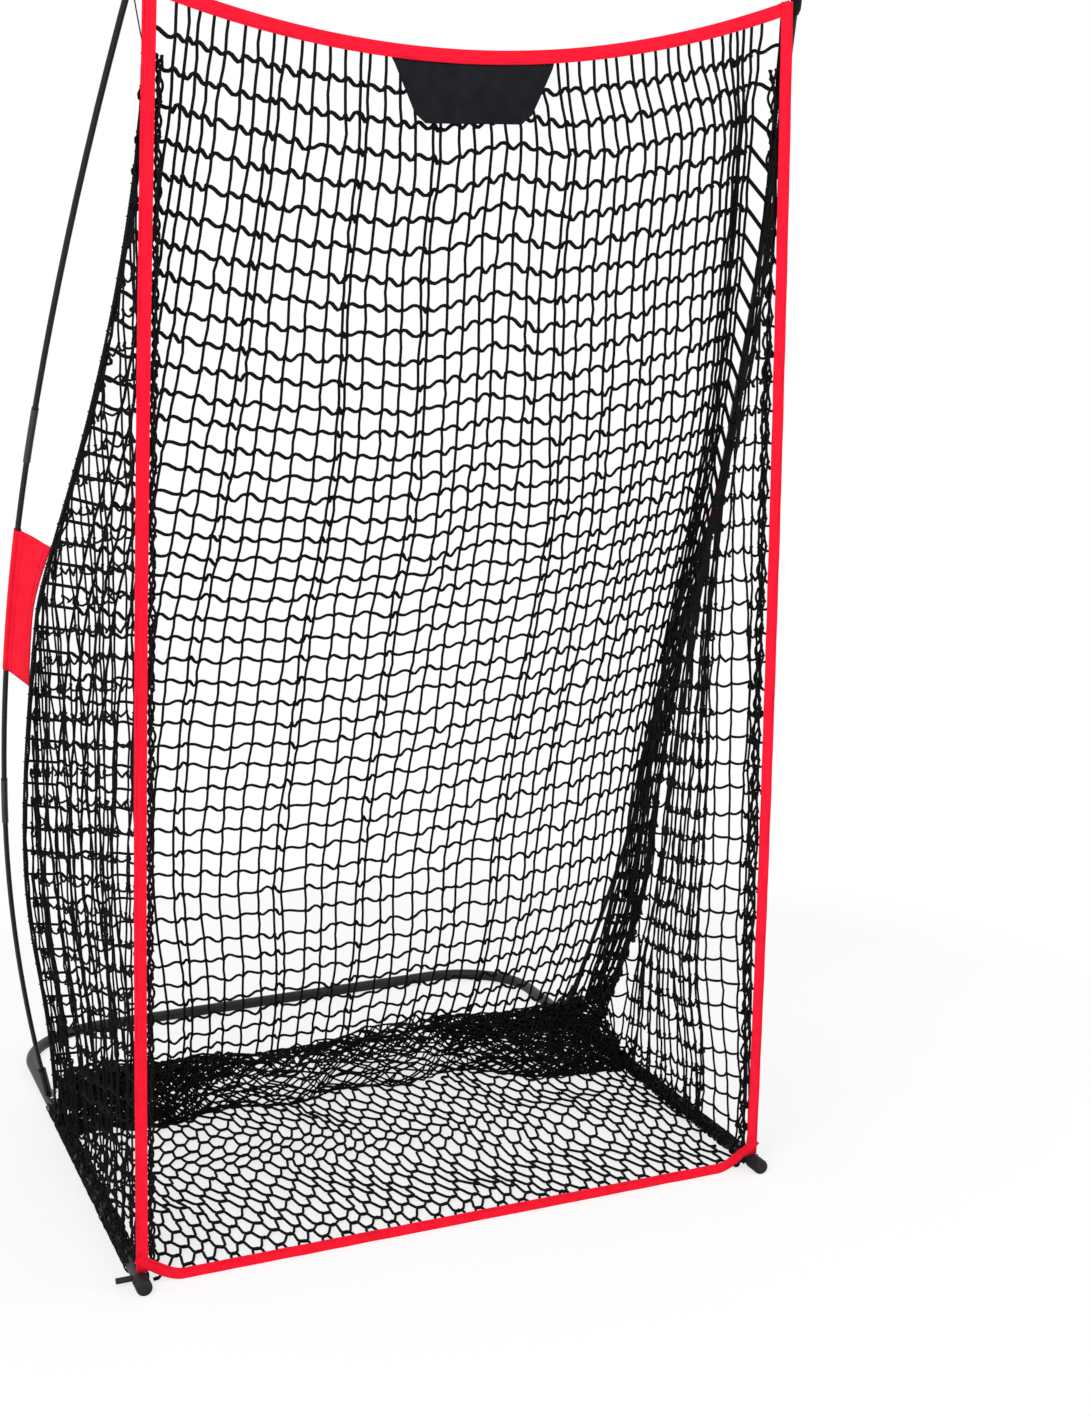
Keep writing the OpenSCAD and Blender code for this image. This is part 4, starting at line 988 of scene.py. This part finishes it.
def seam_rope(side):
    """The twisted rope in the nets' rear seam."""
    rng = np.random.default_rng(81 + side)
    v = np.linspace(0, 1, 160)
    line = seam(v)
    shape = Shape()
    braid(shape, mirror(line, side), ROPE_R, X_AXIS, 0.020)
    # Twine laces the two nets to the rope, one turn at each knot
    arc = arc_of(line)
    for start in np.arange(0.03, arc[-1] - 0.03, BAR):
        turn = np.linspace(0, 2 * math.pi, 13) + rng.uniform(0, 6)
        at = start + np.linspace(0, 0.010, 13) * rng.uniform(0.6, 1.4)
        core = along_line(line, arc, at)
        way = unit(core[-1] - core[0])
        a = unit(np.cross(way, X_AXIS))
        b = np.cross(a, way)
        r = ROPE_R + 0.0006
        loop = core + r * (np.cos(turn)[:, None] * a + np.sin(turn)[:, None] * b)
        shape.tube(mirror(loop, side), 0.0010, mirror(way, side), 4)
    piece = shape.object("seam_cordage_" + sided(side), black_cord)
    stand_for(piece, "black_cord", "seam_rope_" + sided(side))


TIE_R, CORD_R = 0.0015, 0.0013


def corner_tie(side):
    """An elastic loop from the cross pin up round the bottom band's end."""
    reach = PIN_D / 2 + TIE_R + SOFT_GAP
    tie_z = TUBE_Z + BAND_RISE - 0.008
    turn = np.linspace(0, 2 * math.pi, 61)[:-1]
    y = PIN_Y + reach * np.cos(turn)
    z = np.where(np.sin(turn) > 0, tie_z, TUBE_Z) + reach * np.sin(turn)
    x = RAIL_X - TUBE_R - TIE_R - SOFT_GAP + 0.0006 * np.sin(3 * turn)
    loop = np.stack([x, y, z], 1)
    loop = np.concatenate([loop, loop[:1]])
    shape = Shape()
    braid(shape, mirror(loop, side), TIE_R, X_AXIS, 0.007, step=0.002)
    piece = shape.object("corner_tie_loop_" + sided(side), black_cord)
    stand_for(piece, "black_cord", "corner_tie_" + sided(side))


def corner_cord(side):
    """The thin cord from a corner pocket down to the side band, knotted at both ends."""
    axis = pole_dir(pole_l)
    inward = unit(-X_AXIS + axis[0] * axis)
    start = (pole_at(pole_l - POCKET_DOWN - 0.0017)
             + inward * (POLE_R + 0.0023 + 0.00065))
    end = on_mouth(side_band_x(MOUTH_L - CORNER_CORD_L) + BAND_W / 2 - 0.003,
                   MOUTH_L - CORNER_CORD_L, -(BAND_T / 2 + 0.0017))
    t = np.linspace(0, 1, 30)[:, None]
    line = mix(start, end, t) + 0.002 * np.sin(math.pi * t) * Y_AXIS
    shape = Shape()
    braid(shape, mirror(line, side), CORD_R, X_AXIS, 0.005, step=0.0015)
    shape.beads(mirror(np.array([start, end]), side), 2 * CORD_R, np.random.default_rng(9))
    piece = shape.object("corner_cord_line_" + sided(side), black_cord)
    stand_for(piece, "black_cord", "corner_cord_" + sided(side))


def lacing(side):
    """Twine that ties the net to the inner edge of the side band, in slack loops at each row."""
    rng = np.random.default_rng(91 + side)
    shape = Shape()
    s = np.arange(MOUTH_L * 0.955, side_low * 1.1, -BAR)
    t = np.arange(len(s) * 10) / 10
    at = np.interp(t, np.arange(len(s)), s)
    for strand, reach in enumerate((0.0045, 0.008, 0.011)):
        wave = 0.004 + reach * np.abs(np.sin(math.pi * (t + 0.31 * strand))) ** 1.4 \
            + ripple(rng, t, t * 0, 2.6, 0.0012)
        back = NET_BACK + 0.001 + 0.005 * strand + ripple(rng, t, t * 0, 1.7, 0.0015)
        line = on_mouth(side_band_x(at) - BAND_W / 2 - wave, at, -back)
        shape.tube(mirror(line, side), 0.9 * SIDE_R, AHEAD, 5)
        shape.beads(mirror(line[strand * 3::10], side), SIDE_KNOT_R, rng)
    piece = shape.object("band_lacing_" + sided(side), twine)


RAIL_TWINE_R = 0.0014


def round_rail(turn, r, y):
    """Points round the side rail, at each turn and distance from its middle."""
    return np.stack([RAIL_X + r * np.cos(turn), y, TUBE_Z + r * np.sin(turn)], 1)


def rail_wrap(side):
    """The nets' lower edge, laced round the side rail in close, even turns."""
    rng = np.random.default_rng(101 + side)
    shape = Shape()
    y0, y1 = 0.06, PILE_AT + PILE_DEPTH
    for strand in range(5):
        t = np.linspace(0, 1, 460)
        y = mix(y0, y1, t) + ripple(rng, t, t * 0, 0.05, 0.004)
        turn = 2 * math.pi * (y - y0) / rng.uniform(0.036, 0.075) + rng.uniform(0, 6)
        r = TUBE_R + RAIL_TWINE_R + 0.0004 + 0.0004 * strand ** 0.5
        line = round_rail(turn, r, y)
        line[:, 2] = np.maximum(line[:, 2], RAIL_TWINE_R + 0.0003)
        shape.tube(mirror(line, side), RAIL_TWINE_R, Y_AXIS, 4)
    for strand in range(9):
        t = np.linspace(0, 1, 260)
        y = mix(y0, y1, t)
        turn = mix(-0.3, 3.4, (strand + rng.uniform()) / 9) + ripple(rng, t, t * 0, 0.09, 0.2)
        r = TUBE_R + RAIL_TWINE_R + 0.0010 + np.abs(ripple(rng, t, t * 0, 0.05, 0.0007))
        shape.tube(mirror(round_rail(turn, r, y), side), RAIL_TWINE_R, X_AXIS, 4)
    piece = shape.object("rail_lacing_" + sided(side), twine)


for side in (-1, 1):
    side_sleeve(side)
    corner_pocket(side)
    seam_rope(side)
    corner_tie(side)
    corner_cord(side)
    lacing(side)
    rail_wrap(side)


# ---- floor, lights and background ----
FLOOR_HALF = 40
# How much of the floor the camera sees as plain white near the object, and the distances from
# which more of it is white and all of it is
GLOW_LEAST, GLOW_FROM, GLOW_TO = 0.72, 0.9, 2.2


def floor():
    mesh = bpy.data.meshes.new("floor")
    mesh.from_pydata([(x * FLOOR_HALF, y * FLOOR_HALF, 0)
                      for x, y in ((-1, -1), (1, -1), (1, 1), (-1, 1))],
                     [], [(0, 1, 2, 3)])
    n = Nodes("floor")
    n.shader.inputs["Roughness"].default_value = 0.9
    n.shader.inputs["Base Color"].default_value = (0.9, 0.9, 0.9, 1)
    glow = n.add("Emission", {"Color": (1, 1, 1, 1), "Strength": 1.0})
    away = n.add("VectorMath", {0: n.place()}, operation="LENGTH").outputs["Value"]
    far = n.add("MapRange", {"Value": away, "From Min": GLOW_FROM, "From Max": GLOW_TO},
                interpolation_type="SMOOTHSTEP").outputs[0]
    ray = n.tree.nodes.new("ShaderNodeLightPath")
    share = n.maths("MULTIPLY", n.maths("MAXIMUM", far, GLOW_LEAST), ray.outputs["Is Camera Ray"])
    both = n.add("MixShader", {0: share, 1: n.shader.outputs[0], 2: glow.outputs[0]})
    n.tree.links.new(both.outputs[0], n.tree.nodes["Material Output"].inputs["Surface"])
    mesh.materials.append(n.material)
    put("floor", mesh)


def lamp(name, place, target, size, power):
    data = bpy.data.lights.new(name, "AREA")
    data.shape = "DISK"
    data.size = size
    data.energy = power
    obj = put(name, data)
    obj.location = place
    z = unit(np.array(place) - np.array(target))
    x = unit(np.cross(Z_AXIS, z))
    obj.rotation_euler = Matrix(np.stack([x, np.cross(z, x), z], 1).tolist()).to_euler()


def world():
    """White where the camera, gloss and glass see it, and a little less as light on the object."""
    sky = bpy.data.worlds.new("studio")
    bpy.context.scene.world = sky
    sky.use_nodes = True
    nodes, links = sky.node_tree.nodes, sky.node_tree.links
    back = nodes["Background"]
    back.inputs["Color"].default_value = (1, 1, 1, 1)
    ray = nodes.new("ShaderNodeLightPath")
    seen, glossy = nodes.new("ShaderNodeMath"), nodes.new("ShaderNodeMath")
    seen.operation = glossy.operation = "MAXIMUM"
    for source, into in ((ray.outputs["Is Camera Ray"], seen.inputs[0]),
                         (ray.outputs["Is Glossy Ray"], glossy.inputs[0]),
                         (ray.outputs["Is Transmission Ray"], glossy.inputs[1]),
                         (glossy.outputs[0], seen.inputs[1])):
        links.new(source, into)
    strength = nodes.new("ShaderNodeMapRange")
    strength.inputs["To Min"].default_value = 0.75
    strength.inputs["To Max"].default_value = 1.0
    links.new(seen.outputs[0], strength.inputs["Value"])
    links.new(strength.outputs[0], back.inputs["Strength"])


floor()
world()
lamp("key", (-3.2, -4.2, 4.6), (0, 0, 0.9), 3.0, 190)
lamp("fill", (4.2, -3.0, 3.0), (0, 0, 0.9), 3.5, 80)
bpy.context.scene.view_settings.view_transform = "Standard"
